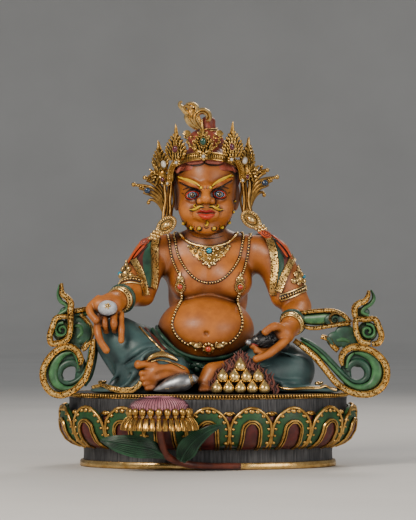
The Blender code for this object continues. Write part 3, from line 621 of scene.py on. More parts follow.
def make_materials(settings):
    """Every finish of the statue, from the colours in its settings."""
    s = settings
    hexed = {
        k: "#" + "".join(f"{round(255 * srgb(c)):02X}" for c in getattr(s, k))
        for k in ("skin_colour", "gold_colour", "trouser_colour", "scarf_colour", "petal_colour",
                  "petal_heart_colour")}
    # The third colour of each paint and gilding goes into its recesses by occlusion, partly dark antiquing
    # and partly painted shade; the skin's last colour is painted shade over its larger hollows.
    MATERIALS.update(skin=paint("ochre_skin_paint", hexed["skin_colour"], "#A25A1E", "#241004", 0.42, 0.06,
                                16.0, 0.8, 5.5, "#481F06"),
                     gold=gilding("antiqued_gilding", hexed["gold_colour"], "#98702F", "#160C05", 0.3,
                                  reach_mm=3.2),
                     bright_gold=gilding("bright_chased_gilding", "#F8DA9C", "#D8AC60", "#2E1A0A", 0.3,
                                         reach_mm=1.5),
                     worn_gold=gilding("worn_ribbon_gilding", "#B08A4E", "#765427", "#1E1208", 0.4,
                                       reach_mm=3.0),
                     amber=paint("amber_brow_paint", "#C4701E", "#8E420C", "#2A1206", 0.46, 0.05, 6.0, 0.7,
                                 1.5),
                     lower_lip=paint("coral_lip_paint", "#DC4A30", "#B42A18", "#5A1408", 0.38, 0.15, 5.0,
                                     0.5, 1.5),
                     bead_gold=gilding("bright_bead_gilding", "#F4D698", "#D9AE62", "#3A220C", 0.26,
                                       reach_mm=1.2),
                     plain_gold=gilding("burnished_gilding", "#EBC888", "#BE924C", "#35200C", 0.26,
                                        reach_mm=2.0),
                     brocade=gilding("pricked_brocade_gilding", "#F2D088", "#CE9E50", "#2A180A", 0.36,
                                     pitted=True),
                     old_gold=gilding("dark_filigree_gilding", "#D2A356", "#8A6024", "#160C05", 0.36,
                                      reach_mm=3.2),
                     trousers=paint("teal_trouser_paint", hexed["trouser_colour"], "#20363A", "#0A1214",
                                    0.5, 0.1, 22.0, 0.8, 9.0),
                     scarf=paint("green_scarf_paint", hexed["scarf_colour"], "#285232", "#08140A", 0.42,
                                 0.2, 10.0, 0.8, 3.5),
                     dark_green=paint("dark_green_cloth_paint", "#2C5A44", "#163226", "#060E0A", 0.42, 0.2,
                                      9.0),
                     maroon=paint("maroon_cloth_paint", "#6E2C22", "#451812", "#180806", 0.45, 0.2, 9.0),
                     orange=paint("vermilion_ribbon_paint", "#DC5418", "#AE3A0E", "#3A0F06", 0.48, 0.08,
                                  8.0, 0.8, 2.4),
                     coral=paint("coral_hair_paint", "#A84C34", "#74301E", "#240A06", 0.5, 0.08, 8.0, 0.8,
                                 5.0),
                     scallop=paint("pale_coral_scallop_paint", "#BE6E5A", "#8C4638", "#2A0C08", 0.5, 0.05,
                                   8.0, 0.8, 2.0),
                     throne_gold=gilding("amber_throne_gilding", "#E4B868", "#A87C40", "#170B04", 0.3,
                                         reach_mm=2.8),
                     petal=paint("green_petal_paint", hexed["petal_colour"], "#103415", "#040B04", 0.46,
                                 0.12, 8.0, 0.8, 6.0),
                     petal_heart=paint("red_petal_heart_paint", hexed["petal_heart_colour"], "#3A0F0D",
                                       "#160605", 0.46, 0.12, 8.0),
                     fur=paint("dark_fur_paint", "#2C2C2F", "#151517", "#050505", 0.36, 0.3, 6.0),
                     leaf=paint("dark_leaf_paint", "#265A38", "#103222", "#040C08", 0.5, 0.1, 10.0),
                     stem=paint("red_brown_stem_paint", "#78351F", "#461A10", "#120504", 0.5, 0.1, 8.0),
                     dome_line=paint("dark_wine_line_paint", "#4E2030", "#34121E", "#140408", 0.55, 0.0,
                                     6.0),
                     dome=paint("rose_seed_head_paint", "#D492A0", "#A4606E", "#44202A", 0.5, 0.08, 6.0,
                                0.8, 1.0),
                     flame=paint("red_brown_flame_paint", "#5C3230", "#301719", "#10070A", 0.5, 0.12, 4.0,
                                 0.8, 3.0),
                     flame_edge=paint("orange_flame_paint", "#84483A", "#542A22", "#1A0A08", 0.5, 0.12,
                                      4.0),
                     lips=paint("vermilion_lip_paint", "#B4201A", "#8C140E", "#3A0A08", 0.4, 0.05, 4.0),
                     yellow=paint("yellow_hair_paint", "#F0CC24", "#CE9A12", "#4A2E0A", 0.36, 0.2, 4.0,
                                  0.6, 1.2),
                     citron=paint("silvery_citron_paint", "#D6DADF", "#A6ACB4", "#3A3C40", 0.3, 0.5, 5.0),
                     line=paint("dark_brown_line_paint", "#2A140A", "#1A0C06", "#0A0502", 0.45, 0.2, 4.0),
                     silver=paint_silver(), jewel=jewel_gilding(), charcoal=charcoal_patina(),
                     coral_stone=stone("coral_stone", "#D8553A", "#A8321E"),
                     turquoise=stone("turquoise_stone", "#23A8C4", "#0E7C98"),
                     blue_stone=stone("dark_blue_stone", "#223E5C", "#0E1E34"),
                     green_stone=stone("green_stone", "#1E5A46", "#0C3226"),
                     garnet=stone("garnet_stone", "#6A1E30", "#3A0C1A"),
                     pearl=stone("pearl", "#DAD4C8", "#B4ACA0", 0.22), eye=eye_paint(),)


def srgb(c):
    return 12.92 * c if c <= 0.0031308 else 1.055 * c ** (1 / 2.4) - 0.055


def paint_silver():
    """Silvered copper, burnished, dark grey in its grooves by occlusion: partly tarnish, partly painted
    shade.
    """
    made, tree, shader, place = new_material("burnished_silvering", 0.32, 1.0)
    tone = blend(tree, between(tree, noise(tree, place, 7.0), 0.3, 0.7), linear("#84878C"), linear("#B8BABD"))
    # Grey tarnish in the grooves and painted shade there.
    open_unshaded = crevice(tree, 3.0)
    tree.links.new(blend(tree, open_unshaded, linear("#2A2A2C"), tone), shader.inputs["Base Color"])
    tree.links.new(between(tree, open_unshaded, 0.0, 1.0, 0.6, 0.4), shader.inputs["Roughness"])
    bump(tree, shader, noise(tree, place, 1.2, 2.0), 0.06, 0.4)
    return made


def jewel_gilding():
    """Gold paint with a satin gloss, as on the heap of jewels, with painted shade of warm brown in its
    recesses.
    """
    made, tree, shader, place = new_material("satin_gold_jewels", 0.26, 0.92)
    tone = blend(tree, between(tree, noise(tree, place, 3.0), 0.3, 0.7), linear("#E6BA62"), linear("#F8E0A4"))
    # Painted shade: warm brown where occlusion is deep.
    open_unshaded = crevice(tree, 4.0, 0.2, 0.7)
    tree.links.new(blend(tree, open_unshaded, linear("#7A4A16"), tone), shader.inputs["Base Color"])
    bump(tree, shader, noise(tree, place, 0.8, 2.0), 0.05, 0.3)
    return made


def charcoal_patina():
    """Copper darkened to charcoal, its vertical hatching about 1.6 mm apart, paler on the ridges and near
    black in the recesses by occlusion, partly rubbed patina and partly painted shade.
    """
    made, tree, shader, place = new_material("charcoal_patina", 0.55, 0.25)
    hatch = add(tree, "ShaderNodeAttribute", {"attribute_name": "round_mm"}).outputs["Fac"]
    level = add(tree, "ShaderNodeSeparateXYZ", None, Vector=place).outputs["Z"]
    spread = add(tree, "ShaderNodeCombineXYZ", None, X=hatch, Y=0.0, Z=level)
    lines = add(tree, "ShaderNodeTexNoise", None, Scale=0.62, Detail=2.0, Roughness=0.6)
    drawn_out = add(tree, "ShaderNodeMapping", None, Vector=spread.outputs[0], Scale=(1.0, 1.0, 60.0))
    tree.links.new(drawn_out.outputs[0], lines.inputs["Vector"])
    mottle = noise(tree, place, 14.0)
    tone = blend(tree, between(tree, lines.outputs["Fac"], 0.38, 0.62), linear("#222225"), linear("#525254"))
    tone = blend(tree, between(tree, mottle, 0.35, 0.7, 0.0, 0.5), tone, linear("#2E3033"))
    # Near black in the recesses: patina and painted shade, by occlusion.
    open_unshaded = crevice(tree, 5.0)
    tree.links.new(blend(tree, open_unshaded, linear("#0C0C0D"), tone), shader.inputs["Base Color"])
    bump(tree, shader, lines.outputs["Fac"], 0.35, 0.7)
    return made


def eye_paint():
    """An enamelled eye: rings by how far each point is from its middle in millimetres, inside a red rim."""
    made, tree, shader, _ = new_material("painted_eye", 0.14)
    out = add(tree, "ShaderNodeAttribute", {"attribute_name": "out_mm"}).outputs["Fac"]
    share = between(tree, out, 0.0, 6.0)
    stops = ((0.0, "#0A0706"), (0.10, "#0A0706"), (0.14, "#7A5E3E"), (0.24, "#7E6040"), (0.28, "#16110F"),
             (0.38, "#16110F"), (0.41, "#5E7C96"), (0.50, "#7E9AB0"), (0.53, "#0C1016"), (0.68, "#0C1016"),
             (0.72, "#A8C4D2"), (1.0, "#D8DCDA"))
    tone = ramp(tree, share, *((p, linear(c)) for p, c in stops))
    rim = add(tree, "ShaderNodeAttribute", {"attribute_name": "rim_share"}).outputs["Fac"]
    tone = blend(tree, between(tree, rim, 0.74, 0.80), tone, linear("#C2281A"))
    tone = blend(tree, between(tree, rim, 0.94, 1.0), tone, linear("#6A120A"))
    tree.links.new(tone, shader.inputs["Base Color"])
    shader.inputs["Coat Weight"].default_value = 0.3
    shader.inputs["Coat Roughness"].default_value = 0.06
    return made


# Geometry Nodes


def node_tree(name, *inputs):
    """A Geometry Nodes tree with a mesh in, named inputs and a mesh out."""
    tree = bpy.data.node_groups.new(name, "GeometryNodeTree")
    tree.interface.new_socket("Geometry", in_out="INPUT", socket_type="NodeSocketGeometry")
    for label, kind, default in inputs:
        socket = tree.interface.new_socket(label, in_out="INPUT", socket_type=kind)
        if default is not None:
            socket.default_value = default
    tree.interface.new_socket("Geometry", in_out="OUTPUT", socket_type="NodeSocketGeometry")
    return tree, tree.nodes.new("NodeGroupInput"), tree.nodes.new("NodeGroupOutput")


def bead_tree():
    """Beads at an even pitch along every line of the mesh."""
    tree, start, end = node_tree(
        "bead_string",
        ("Bead Radius", "NodeSocketFloat", 0.001),
        ("Pitch", "NodeSocketFloat", 0.002),
        ("Finish", "NodeSocketMaterial", None),
    )
    line = add(tree, "GeometryNodeMeshToCurve", None, Mesh=start.outputs["Geometry"])
    spaced = add(tree, "GeometryNodeResampleCurve", {"mode": "LENGTH"}, Curve=line.outputs[0])
    tree.links.new(start.outputs["Pitch"], spaced.inputs["Length"])
    bead = add(tree, "GeometryNodeMeshIcoSphere", None, Radius=start.outputs["Bead Radius"], Subdivisions=2)
    put = add(tree, "GeometryNodeInstanceOnPoints", None, Points=spaced.outputs[0], Instance=bead.outputs[0])
    real = add(tree, "GeometryNodeRealizeInstances", None, Geometry=put.outputs[0])
    smooth = add(tree, "GeometryNodeSetShadeSmooth", None, Geometry=real.outputs[0])
    done = add(tree, "GeometryNodeSetMaterial", None, Geometry=smooth.outputs[0],
               Material=start.outputs["Finish"])
    tree.links.new(done.outputs[0], end.inputs[0])
    return tree


def round_tree():
    """A copy of one pattern object at every point of the mesh, its front turned to the outward direction."""
    tree, start, end = node_tree(
        "set_round",
        ("Pattern", "NodeSocketObject", None),
        ("Finish", "NodeSocketMaterial", None),
    )
    points = add(tree, "GeometryNodeMeshToPoints", None, Mesh=start.outputs["Geometry"])
    pattern = add(tree, "GeometryNodeObjectInfo", None, Object=start.outputs["Pattern"])
    outward = add(tree, "GeometryNodeInputNamedAttribute", {"data_type": "FLOAT_VECTOR"}, Name="outward")
    facing = add(tree, "FunctionNodeAlignRotationToVector", {"axis": "Y", "pivot_axis": "Z"},
                 Vector=outward.outputs[0])
    put = add(tree, "GeometryNodeInstanceOnPoints", None, Points=points.outputs[0],
              Rotation=facing.outputs[0])
    tree.links.new(pattern.outputs["Geometry"], put.inputs["Instance"])
    real = add(tree, "GeometryNodeRealizeInstances", None, Geometry=put.outputs[0])
    done = add(tree, "GeometryNodeSetMaterial", None, Geometry=real.outputs[0],
               Material=start.outputs["Finish"])
    tree.links.new(done.outputs[0], end.inputs[0])
    return tree


TREES = {}


def grow(name, carrier, tree_name, values, *nodes, slot=None):
    """Runs a tree on a carrier mesh with its named inputs, and hands over the plain mesh that comes out."""
    if tree_name not in TREES:
        TREES[tree_name] = {"bead_string": bead_tree, "set_round": round_tree}[tree_name]()
    tree = TREES[tree_name]
    modifier = carrier.modifiers.new(tree_name, "NODES")
    modifier.node_group = tree
    for item in tree.interface.items_tree:
        if item.in_out == "INPUT" and item.name in values:
            modifier[item.identifier] = values[item.name]
    bpy.context.view_layer.update()
    graph = bpy.context.evaluated_depsgraph_get()
    mesh = bpy.data.meshes.new_from_object(carrier.evaluated_get(graph))
    mesh.name = name
    bpy.data.objects.remove(carrier)
    if not mesh.polygons:
        raise RuntimeError(f"{name} came out empty")
    made = bpy.data.objects.new(name, mesh)
    bpy.context.scene.collection.objects.link(made)
    return hand_over(made, *nodes, slot=slot)


def line_carrier(name, paths):
    """Open or closed lines as one mesh of edges. Each path is (points, closed)."""
    points, edges, count = [], [], 0
    for path, closed in paths:
        n = len(path)
        points.append(np.array(path))
        k = np.arange(n if closed else n - 1)
        edges += np.column_stack([k + count, (k + 1) % n + count]).tolist()
        count += n
    mesh = bpy.data.meshes.new(name)
    mesh.from_pydata((np.concatenate(points) * MM).tolist(), edges, [])
    obj = bpy.data.objects.new(name, mesh)
    bpy.context.scene.collection.objects.link(obj)
    return obj


def point_carrier(name, points, outward):
    mesh = bpy.data.meshes.new(name)
    mesh.from_pydata((np.array(points) * MM).tolist(), [], [])
    data = mesh.attributes.new("outward", "FLOAT_VECTOR", "POINT").data
    data.foreach_set("vector", np.array(outward, np.float32).ravel())
    obj = bpy.data.objects.new(name, mesh)
    bpy.context.scene.collection.objects.link(obj)
    return obj


def beads(name, paths, diameter, pitch, finish_name, *nodes, slot=None):
    """Bead strings along paths in millimetres."""
    values = {"Bead Radius": diameter / 2 * MM, "Pitch": pitch * MM, "Finish": finish(finish_name)}
    return grow(name, line_carrier(name + "_line", paths), "bead_string", values, *nodes, slot=slot)


def set_round(name, pattern, points, outward, finish_name, *nodes, slot=None):
    """Copies of a pattern heap, drawn facing +Y, at points of millimetres."""
    shape = make_mesh(name + "_pattern", np.concatenate(pattern.points), pattern.faces, finish(finish_name))
    shape.data.set_sharp_from_angle(angle=math.radians(50))
    values = {"Pattern": shape, "Finish": finish(finish_name)}
    made = grow(name, point_carrier(name + "_points", points, outward), "set_round", values, *nodes,
                slot=slot)
    bpy.data.objects.remove(shape)
    return made


# The throne


def oval(angle, out=0.0):
    """A point and the outward direction at an angle from the front round the foot's oval, moved out."""
    a, b = FOOT_HALF_WIDTH, FOOT_HALF_DEPTH
    x, y = a * math.sin(angle), -b * math.cos(angle)
    n = np.array((x / a**2, y / b**2))
    n = n / np.linalg.norm(n)
    return np.array((x, y)) + n * out, n


def oval_angles(count, out=0.0, offset=0.0):
    """Angles at even lengths round the oval as it is out there."""
    fine = np.linspace(0, 2 * math.pi, 2401)
    ring = np.array([oval(t, out)[0] for t in fine])
    run = np.concatenate([[0], np.cumsum(np.linalg.norm(np.diff(ring, axis=0), axis=1))])
    return np.interp((np.arange(count) + offset) / count * run[-1], run, fine), run[-1]


def oval_ring(out, height, count=240):
    angles, _ = oval_angles(count, out)
    return np.array([(*oval(t, out)[0], height) for t in angles])


def throne_core():
    """Waist, the ground behind the petals and the drum, turned round the oval, in charcoal."""
    profile = [(-1.5, 5.0), (-2.2, 7.0), (-2.4, 12.0), (-2.0, 17.0), (-0.5, 18.6), (6.0, 20.0),
               (10.5, 30.0), (12.5, 42.0), (11.6, 46.0), (11.0, 50.0), (10.6, 58.0), (10.8, 62.5),
               (9.0, PLATE - 0.7), (8.0, PLATE)]
    angles, length = oval_angles(300)
    rows = []
    for out, height in profile:
        rows.append([(*oval(t, out)[0], height) for t in angles])
    inner = [[(p[0] * s, p[1] * s, PLATE) for p in rows[-1]] for s in (0.9, 0.6, 0.25)]
    rows = np.array(rows + inner)[:, ::-1]
    heap = Heap()
    heap.grid(rows[::-1], closed_v=True, cap=True)
    steps = np.tile(np.abs(np.linspace(-length / 2, length / 2, len(angles))), len(rows))
    heap_piece("throne_core", heap, finish("charcoal"), "lotus_throne", slot="throne_paint",
               attributes={"round_mm": np.concatenate([steps, [0, 0]])}, sharp=40)


def throne_bands():
    """The plain gilt foot band, the rim's bead row and its two fine wires."""
    heap = Heap()
    angles, _ = oval_angles(240)
    foot = ((-3.0, 0.0), (0.6, 0.0), (1.2, 1.2), (0.9, 4.6), (0.2, 5.8), (-3.0, 6.2))
    rows = np.array([[(*oval(t, out)[0], height) for t in angles] for out, height in foot])[:, ::-1]
    heap.grid(rows[::-1], closed_u=True, closed_v=True)
    under = np.array([(*oval(t, -1.0)[0], 0.2) for t in angles])
    heap.grid([under * (0.2, 0.2, 1), under][::-1], closed_v=True, cap=True)
    for out, height, size in ((11.2, PLATE - 3.5, 0.8), (10.6, PLATE - 0.2, 0.8)):
        heap.strand(oval_ring(out, height), size, size, face=(0, 0, 1), closed=True, sides=6)
    heap_piece("throne_bands", heap, finish("plain_gold"), slot="antique_gilding")
    bead = Heap()
    bead.ball((0, 0.2, PLATE - 1.7), (1.02, 1.3, 1.6), sides=8, rings=6)
    spots = [oval(t, 11.4) for t in oval_angles(237)[0]]
    set_round("throne_rim_beads", bead, [(*p, 0.0) for p, _ in spots], [(*n, 0.0) for _, n in spots],
              "throne_gold", slot="antique_gilding")


PETAL_HALF = 18.6


def petal_point(u, v, lift=0.0):
    """A point of a throne petal facing +Y: u from -1 to 1 across, v from 0 at the waist to 1 at the top."""
    narrow = 0.80 + 0.20 * math.sin(math.pi * min(1.0, v / 0.9) ** 0.9) ** 0.7
    round_top = math.sqrt(max(0.0, 1 - max(0.0, (v - 0.50) / 0.50) ** 2.3))
    x = PETAL_HALF * u * narrow * (0.02 + 0.98 * round_top)
    out = np.interp(v, (0, 0.08, 0.2, 0.4, 0.65, 0.85, 0.97, 1.0),
                    (-1.0, 7.0, 13.2, 17.6, 19.4, 19.2, 18.6, 17.6))
    out -= 4.2 * abs(x / PETAL_HALF) ** 2.4
    return np.array((x, out + lift, 17.6 + 37.2 * v))


def petal_grid(us, vs, lift=0.0):
    return np.array([[petal_point(u, v, lift) for u in us] for v in vs])


def petal_line(points, lift):
    return np.array([petal_point(u, v, lift) for u, v in curve(points, 6)])


def throne_petals():
    """Eighteen swelling petals with rolled, scrolled gilt edges, each with a gilt arch round a red heart."""
    angles, _ = oval_angles(18, 12.0)
    spots = [oval(t) for t in angles]
    points = [(*p, 0.0) for p, _ in spots]
    outward = [(*n, 0.0) for _, n in spots]
    green = Heap()
    vs = np.linspace(0, 1, 15) ** 0.9
    shell = petal_grid(np.linspace(-1, 1, 15), vs)
    back = shell[:, ::-1] - np.array((0, 3.4, 0))
    green.grid(np.concatenate([shell, back], 1)[:, ::-1], closed_v=True, cap=True)
    set_round("throne_petals", green, points, outward, "petal", slot="throne_paint")
    gold = Heap()
    edge = [(-0.95, 0.02), (-0.985, 0.2), (-0.985, 0.45), (-0.98, 0.68), (-0.97, 0.84), (-0.95, 0.93),
            (-0.84, 0.975), (-0.5, 0.99), (0, 0.995)]
    edge = edge + [(-u, v) for u, v in edge[-2::-1]]
    line = petal_line(edge, 0.5)
    gold.strand(line, 2.8, 2.8, face=(0, 1, 0), sides=8)
    for u, v, r in ((0, 0.915, 1.9), (-0.55, 0.905, 1.5), (-0.76, 0.80, 1.5), (-0.82, 0.66, 1.4),
                    (-0.85, 0.5, 1.2), (-0.86, 0.34, 1.1), (-0.86, 0.17, 1.4)):
        for side in (1, -1) if u else (1,):
            gold.ball(petal_point(u * side, v, 0.6), (r * 1.3, 1.0, r), sides=8, rings=6)
    for wide, lift, size, cut in ((1.0, 1.5, 2.1, 0.0), (0.76, 1.8, 1.5, 0.05)):
        arch = [(-0.58, 0.0), (-0.53, 0.14), (-0.48, 0.3), (-0.46, 0.46), (-0.40, 0.59), (-0.2, 0.675),
                (0, 0.69)]
        arch = [(u * wide, v - cut * (v > 0.5)) for u, v in arch]
        arch = arch + [(-u, v) for u, v in arch[-2::-1]]
        gold.strand(petal_line(arch, lift), size, 2.2, face=(0, 1, 0), sides=6)
    set_round("throne_petal_gilding", gold, points, outward, "throne_gold", slot="antique_gilding")
    heart = Heap()
    rows = []
    for v in np.linspace(0.0, 0.70, 9):
        half = 0.38 * math.sqrt(max(0.0, 1 - max(0.0, (v - 0.45) / 0.26) ** 2)) + 0.01
        rows.append([petal_point(u * half, v * 0.93, 1.7 * math.cos(u * 1.3)) for u in np.linspace(-1, 1, 9)])
    rows = np.array(rows)
    heart.grid(np.concatenate([rows, rows[:, ::-1] - np.array((0, 2.0, 0))], 1)[:, ::-1], closed_v=True,
               cap=True)
    set_round("throne_petal_hearts", heart, points, outward, "petal_heart", slot="throne_paint")
    knob = Heap()
    knob.ball((0, 15.2, 49.2), (3.6, 2.4, 2.0), sides=12, rings=8)
    knob.ball((0, 16.9, 49.8), (1.5, 1.4, 1.2), sides=10, rings=6)
    for side in (1, -1):
        knob.strand(curve([(0, 15.5, 51.0), (side * 3.6, 15.2, 50.0), (side * 6.4, 14.2, 47.4)], 5), 1.3,
                    1.3, face=(0, 1, 0))
    between_angles, _ = oval_angles(18, 12.0, 0.5)
    spots = [oval(t) for t in between_angles]
    where, faces_out = [(*p, 0.0) for p, _ in spots], [(*n, 0.0) for _, n in spots]
    set_round("throne_petal_knobs", knob, where, faces_out, "throne_gold", slot="antique_gilding")
    tip = Heap()
    tip.ball((0, 12.4, 44.0), (4.4, 2.6, 5.6), sides=12, rings=8)
    set_round("throne_back_petals", tip, where, faces_out, "petal_heart", slot="throne_paint")


# The body


def torso_clay():
    clay = Clay((-108, -75, 78), (108, 52, 222), 1.16)
    clay.limb((0, 12, 190, 17), (0, 10, 200, 15.5), (-1, 8, 214, 15), melt=8)
    clay.ball((0, 15, 179), (43, 25, 27), melt=9)
    for side, pec in ((-1, -15.8), (1, 20.2)):
        clay.limb((0, 13, 203, 9), (side * 47, 12, 195, 11.5), melt=12)
        clay.ball((pec, -1, 165.5), (19.5, 14, 17.5), (0, side * 8, 0), melt=8)
    clay.ball((0, 22, 152), (36, 26, 40), melt=9)
    clay.ball((-2, 2, 121), (43.5, 42, 32), melt=2.5)
    clay.ball((0, 20, 96), (48, 36, 26), melt=8)
    clay.limb((-52, 12, 186, 17), (-62, -2, 171, 16), (-67, -19, 156, 12.5), melt=8)
    clay.limb((-67, -19, 156, 12.5), (-76, -38, 150, 11), (-82, -50, 147, 9), melt=3)
    clay.limb((57, 12, 187, 18), (69, 8, 168, 15.5), (80, 4, 142, 12.5), melt=8)
    clay.limb((-53, 0, 177, 11), (-54.5, -9, 163, 10.5), (-57, -15, 152, 9), melt=6)
    clay.limb((62, 6, 177, 12), (64.5, 2, 163, 12), (67, 0, 152, 11), melt=6)
    clay.limb((80, 4, 142, 12.5), (78, -16, 132, 11.5), (73, -33, 125, 8.6), melt=3)
    clay.fold([(0, -15, 178), (0, -16, 168), (0, -15, 157)], 1.6, melt=6, carve=True)
    clay.ball((-1.5, -41, 119), (2.6, 4, 2.2), melt=2.5, carve=True)
    clay.fold([(-26, 47, 170), (-22, 48, 160), (-14, 47, 152)], 2.2, melt=5, carve=True)
    clay.fold([(26, 47, 170), (22, 48, 160), (14, 47, 152)], 2.2, melt=5, carve=True)
    clay.fold([(0, 43, 196), (0, 49, 170), (0, 49, 140), (0, 50, 110)], 2.4, melt=6, carve=True)
    return clay


def finger(clay, joints, thick, melt=1.2):
    """A finger through its joints, plump between them, with a rounded tip."""
    path = curve(joints, 3)
    swell = 1 + 0.06 * np.cos(np.linspace(0, 4 * math.pi, len(path)))
    clay.limb(*np.column_stack([path, np.linspace(thick, thick * 0.82, len(path)) * swell]), melt=melt)


def hands_clay():
    right = Clay((-112, -88, 98), (-66, -38, 166), 0.6)
    right.limb((-80, -46, 148, 9.2), (-85, -54, 146, 9.4), melt=4)
    right.ball((-88, -57, 142.5), (12.5, 7.4, 10), (18, -8, 12), melt=5)
    right.ball((-96, -58, 144), (7, 6.5, 7), melt=5)
    for joints, thick in (
        (((-96, -60, 134), (-97, -67, 124), (-94.6, -71, 114), (-89, -71, 104.8)), 3.7),
        (((-90.4, -58, 136), (-90.6, -65, 130), (-90.2, -65, 124.5), (-89.4, -60, 121.8)), 3.5),
        (((-83, -59, 136), (-82.6, -67, 130), (-82.2, -67, 125), (-81.8, -62, 122.2)), 3.5),
        (((-77, -56, 136), (-76.2, -65, 127), (-75.8, -69, 120), (-76, -68, 113.2)), 3.1),
        (((-96, -57, 149), (-103, -60, 143), (-103, -65, 137), (-98, -69, 131)), 3.9),
    ):
        finger(right, joints, thick, 0.7)
    right.fold([(-94, -66, 140), (-90, -68, 134), (-84, -67, 132)], 0.8, melt=1.5, carve=True)
    left = Clay((32, -76, 84), (92, -20, 138), 0.6)
    left.limb((76, -24, 128, 9.6), (72, -36, 123, 8.6), melt=4)
    left.ball((66, -44, 119), (10.5, 8.5, 9.5), (0, 30, 0), melt=5)
    for joints, thick in (
        (((68, -49, 113), (60, -56, 106.5), (52, -60, 100.5), (42.5, -61, 96.8)), 3.9),
        (((66, -47, 110), (58, -53, 104), (50, -56, 101), (43, -56, 103.5)), 3.6),
        (((63, -45, 110), (55, -51, 104.5), (46, -54, 104), (39, -57, 108.5)), 3.4),
        (((60, -42, 112), (52, -47, 108), (45, -50, 108), (40, -52, 112)), 3.2),
        (((66, -48, 122), (61, -54, 125.5), (55, -57, 124), (50.5, -58, 120.5)), 3.9),
    ):
        finger(left, joints, thick)
    return right, left


def foot_clay():
    """The right foot on its outer edge, its sole in view, and the left foot behind the jewels."""
    right = Clay((-72, -80, 62), (-8, -40, 108), 0.6)
    right.limb((-36, -50, 90, 9), (-31, -54, 88, 8.6), melt=4)
    right.limb((-23.5, -57, 83.5, 7.4), (-34, -58, 85.6, 8.8), (-46, -59, 85, 9.2), (-51, -60, 82.4, 8),
               melt=4)
    right.ball((-50, -60, 79), (7.5, 7, 9.5), melt=5)
    right.fold([(-30, -67, 84), (-37, -68, 84.5), (-44, -68, 83)], 2.4, melt=5, carve=True)
    right.limb((-48, -62, 91.5, 4.8), (-55, -63.5, 92.5, 3.8), (-60.5, -64, 92, 4.4), melt=2)
    for index, (z, reach) in enumerate(((84.5, -57.5), (79.6, -56.8), (75.2, -55), (71.2, -53))):
        right.limb((-47, -62, z, 3.8), (reach + 3, -65, z, 2.9), (reach, -66, z - 0.3, 3.2 - 0.15 * index),
                   melt=1.4)
    left = Clay((-16, -72, 62), (34, -30, 106), 0.7)
    left.limb((26, -40, 83, 11), (14, -44, 85, 10), (4, -48, 84, 9.6), (-1, -51, 76, 8.2), melt=4)
    for index in range(5):
        x = -6.5 + 3.4 * index
        left.limb((x * 0.6, -54, 75 - index * 0.6, 3.2), (x, -60, 69.5, 2.7 - 0.15 * index), melt=1.4)
    left.cut_below(PLATE + 0.3)
    return right, left


HEAD_X = -1.8


def head_clay():
    """A broad, stern head: brows drawn together, full cheeks, wide nose and short chin."""
    x = HEAD_X
    clay = Clay((x - 42, -44, 200), (x + 42, 48, 296), 0.7)
    clay.ball((x, 6, 250), (25.6, 31, 33), melt=6)
    clay.ball((x, -1, 230), (23.8, 24.5, 23.6), melt=8)
    clay.ball((x, 8, 262), (27.4, 31, 25), melt=6)
    clay.ball((x, 20, 242), (24, 19, 32), melt=8)
    clay.limb((x - 1, 8, 214, 14.5), (x - 1, 9, 206, 14.6), melt=5)
    clay.ball((x, -18.5, 213.5), (11, 7.5, 6.5), melt=6)
    clay.limb((x, -25, 251, 3), (x, -30, 244, 3.7), (x, -34, 238.6, 4.7), melt=4)
    clay.ball((x, -26, 225), (12, 5.4, 6.4), melt=5)
    clay.ball((x, -25.6, 231.4), (10.5, 6.0, 5.2), melt=4)
    for side in (-1, 1):
        clay.ball((x + side * 13.4, -14, 230), (11.0, 11, 12), melt=6)
        clay.ball((x + side * 5.2, -30, 236.6), (3.5, 4.8, 3.4), melt=1.2)
        clay.ball((x + side * 3.0, -35, 233.6), (1.3, 1.8, 1.1), melt=0.8, carve=True)
        clay.limb((x + side * 4, -28, 248.6, 2.6), (x + side * 12, -25, 252.2, 3.0),
                  (x + side * 22, -15, 256.4, 2.4), melt=4)
        clay.ball((x + side * 12, -27, 242.6), (6.4, 4.2, 4.2), melt=3, carve=True)
        clay.ball((x + side * 12, -20.2, 242.6), (6.4, 6.2, 4.8), melt=1.2)
        clay.fold([(x + side * 9, -31, 237), (x + side * 12.5, -27.5, 231), (x + side * 13, -25.5, 224)],
                  0.9, melt=2.6, carve=True)
        clay.fold([(x + side * 7, -28.5, 238.6), (x + side * 12, -26, 236.4), (x + side * 18, -21, 238.6)],
                  0.7, melt=2, carve=True)
        clay.ball((x + side * 27.4, 9, 241), (2.8, 6.4, 12), (0, side * 4, side * -14), melt=3)
        clay.ball((x + side * 30.0, 5.4, 241.4), (1.8, 3.6, 8.0), (0, side * 4, side * -14), melt=2,
                  carve=True)
        clay.fold([(x + side * 1.1, -30.4, 246), (x + side * 1.5, -31, 250), (x + side * 2.0, -30, 254)],
                  0.7, melt=1.5, carve=True)
    clay.limb((x - 8.8, -27, 226.6, 1.0), (x - 4, -31, 228.6, 1.9), (x, -32, 227.6, 1.7),
              (x + 4, -31, 228.6, 1.9), (x + 8.8, -27, 226.6, 1.0), melt=1.2)
    clay.limb((x - 7, -27.4, 224.2, 1.2), (x, -31, 222.2, 2.8), (x + 7, -27.4, 224.2, 1.2), melt=1.4)
    clay.fold([(x - 9, -28.5, 226.0), (x, -33.4, 225.2), (x + 9, -28.5, 226.0)], 0.6, melt=0.8, carve=True)
    return clay


def clay_piece(name, clay, finish_name, *nodes, slot=None):
    points, faces = clay.skin()
    remember(name, points, faces)
    return hand_over(make_mesh(name, points, [faces], finish(finish_name)), *nodes, slot=slot)


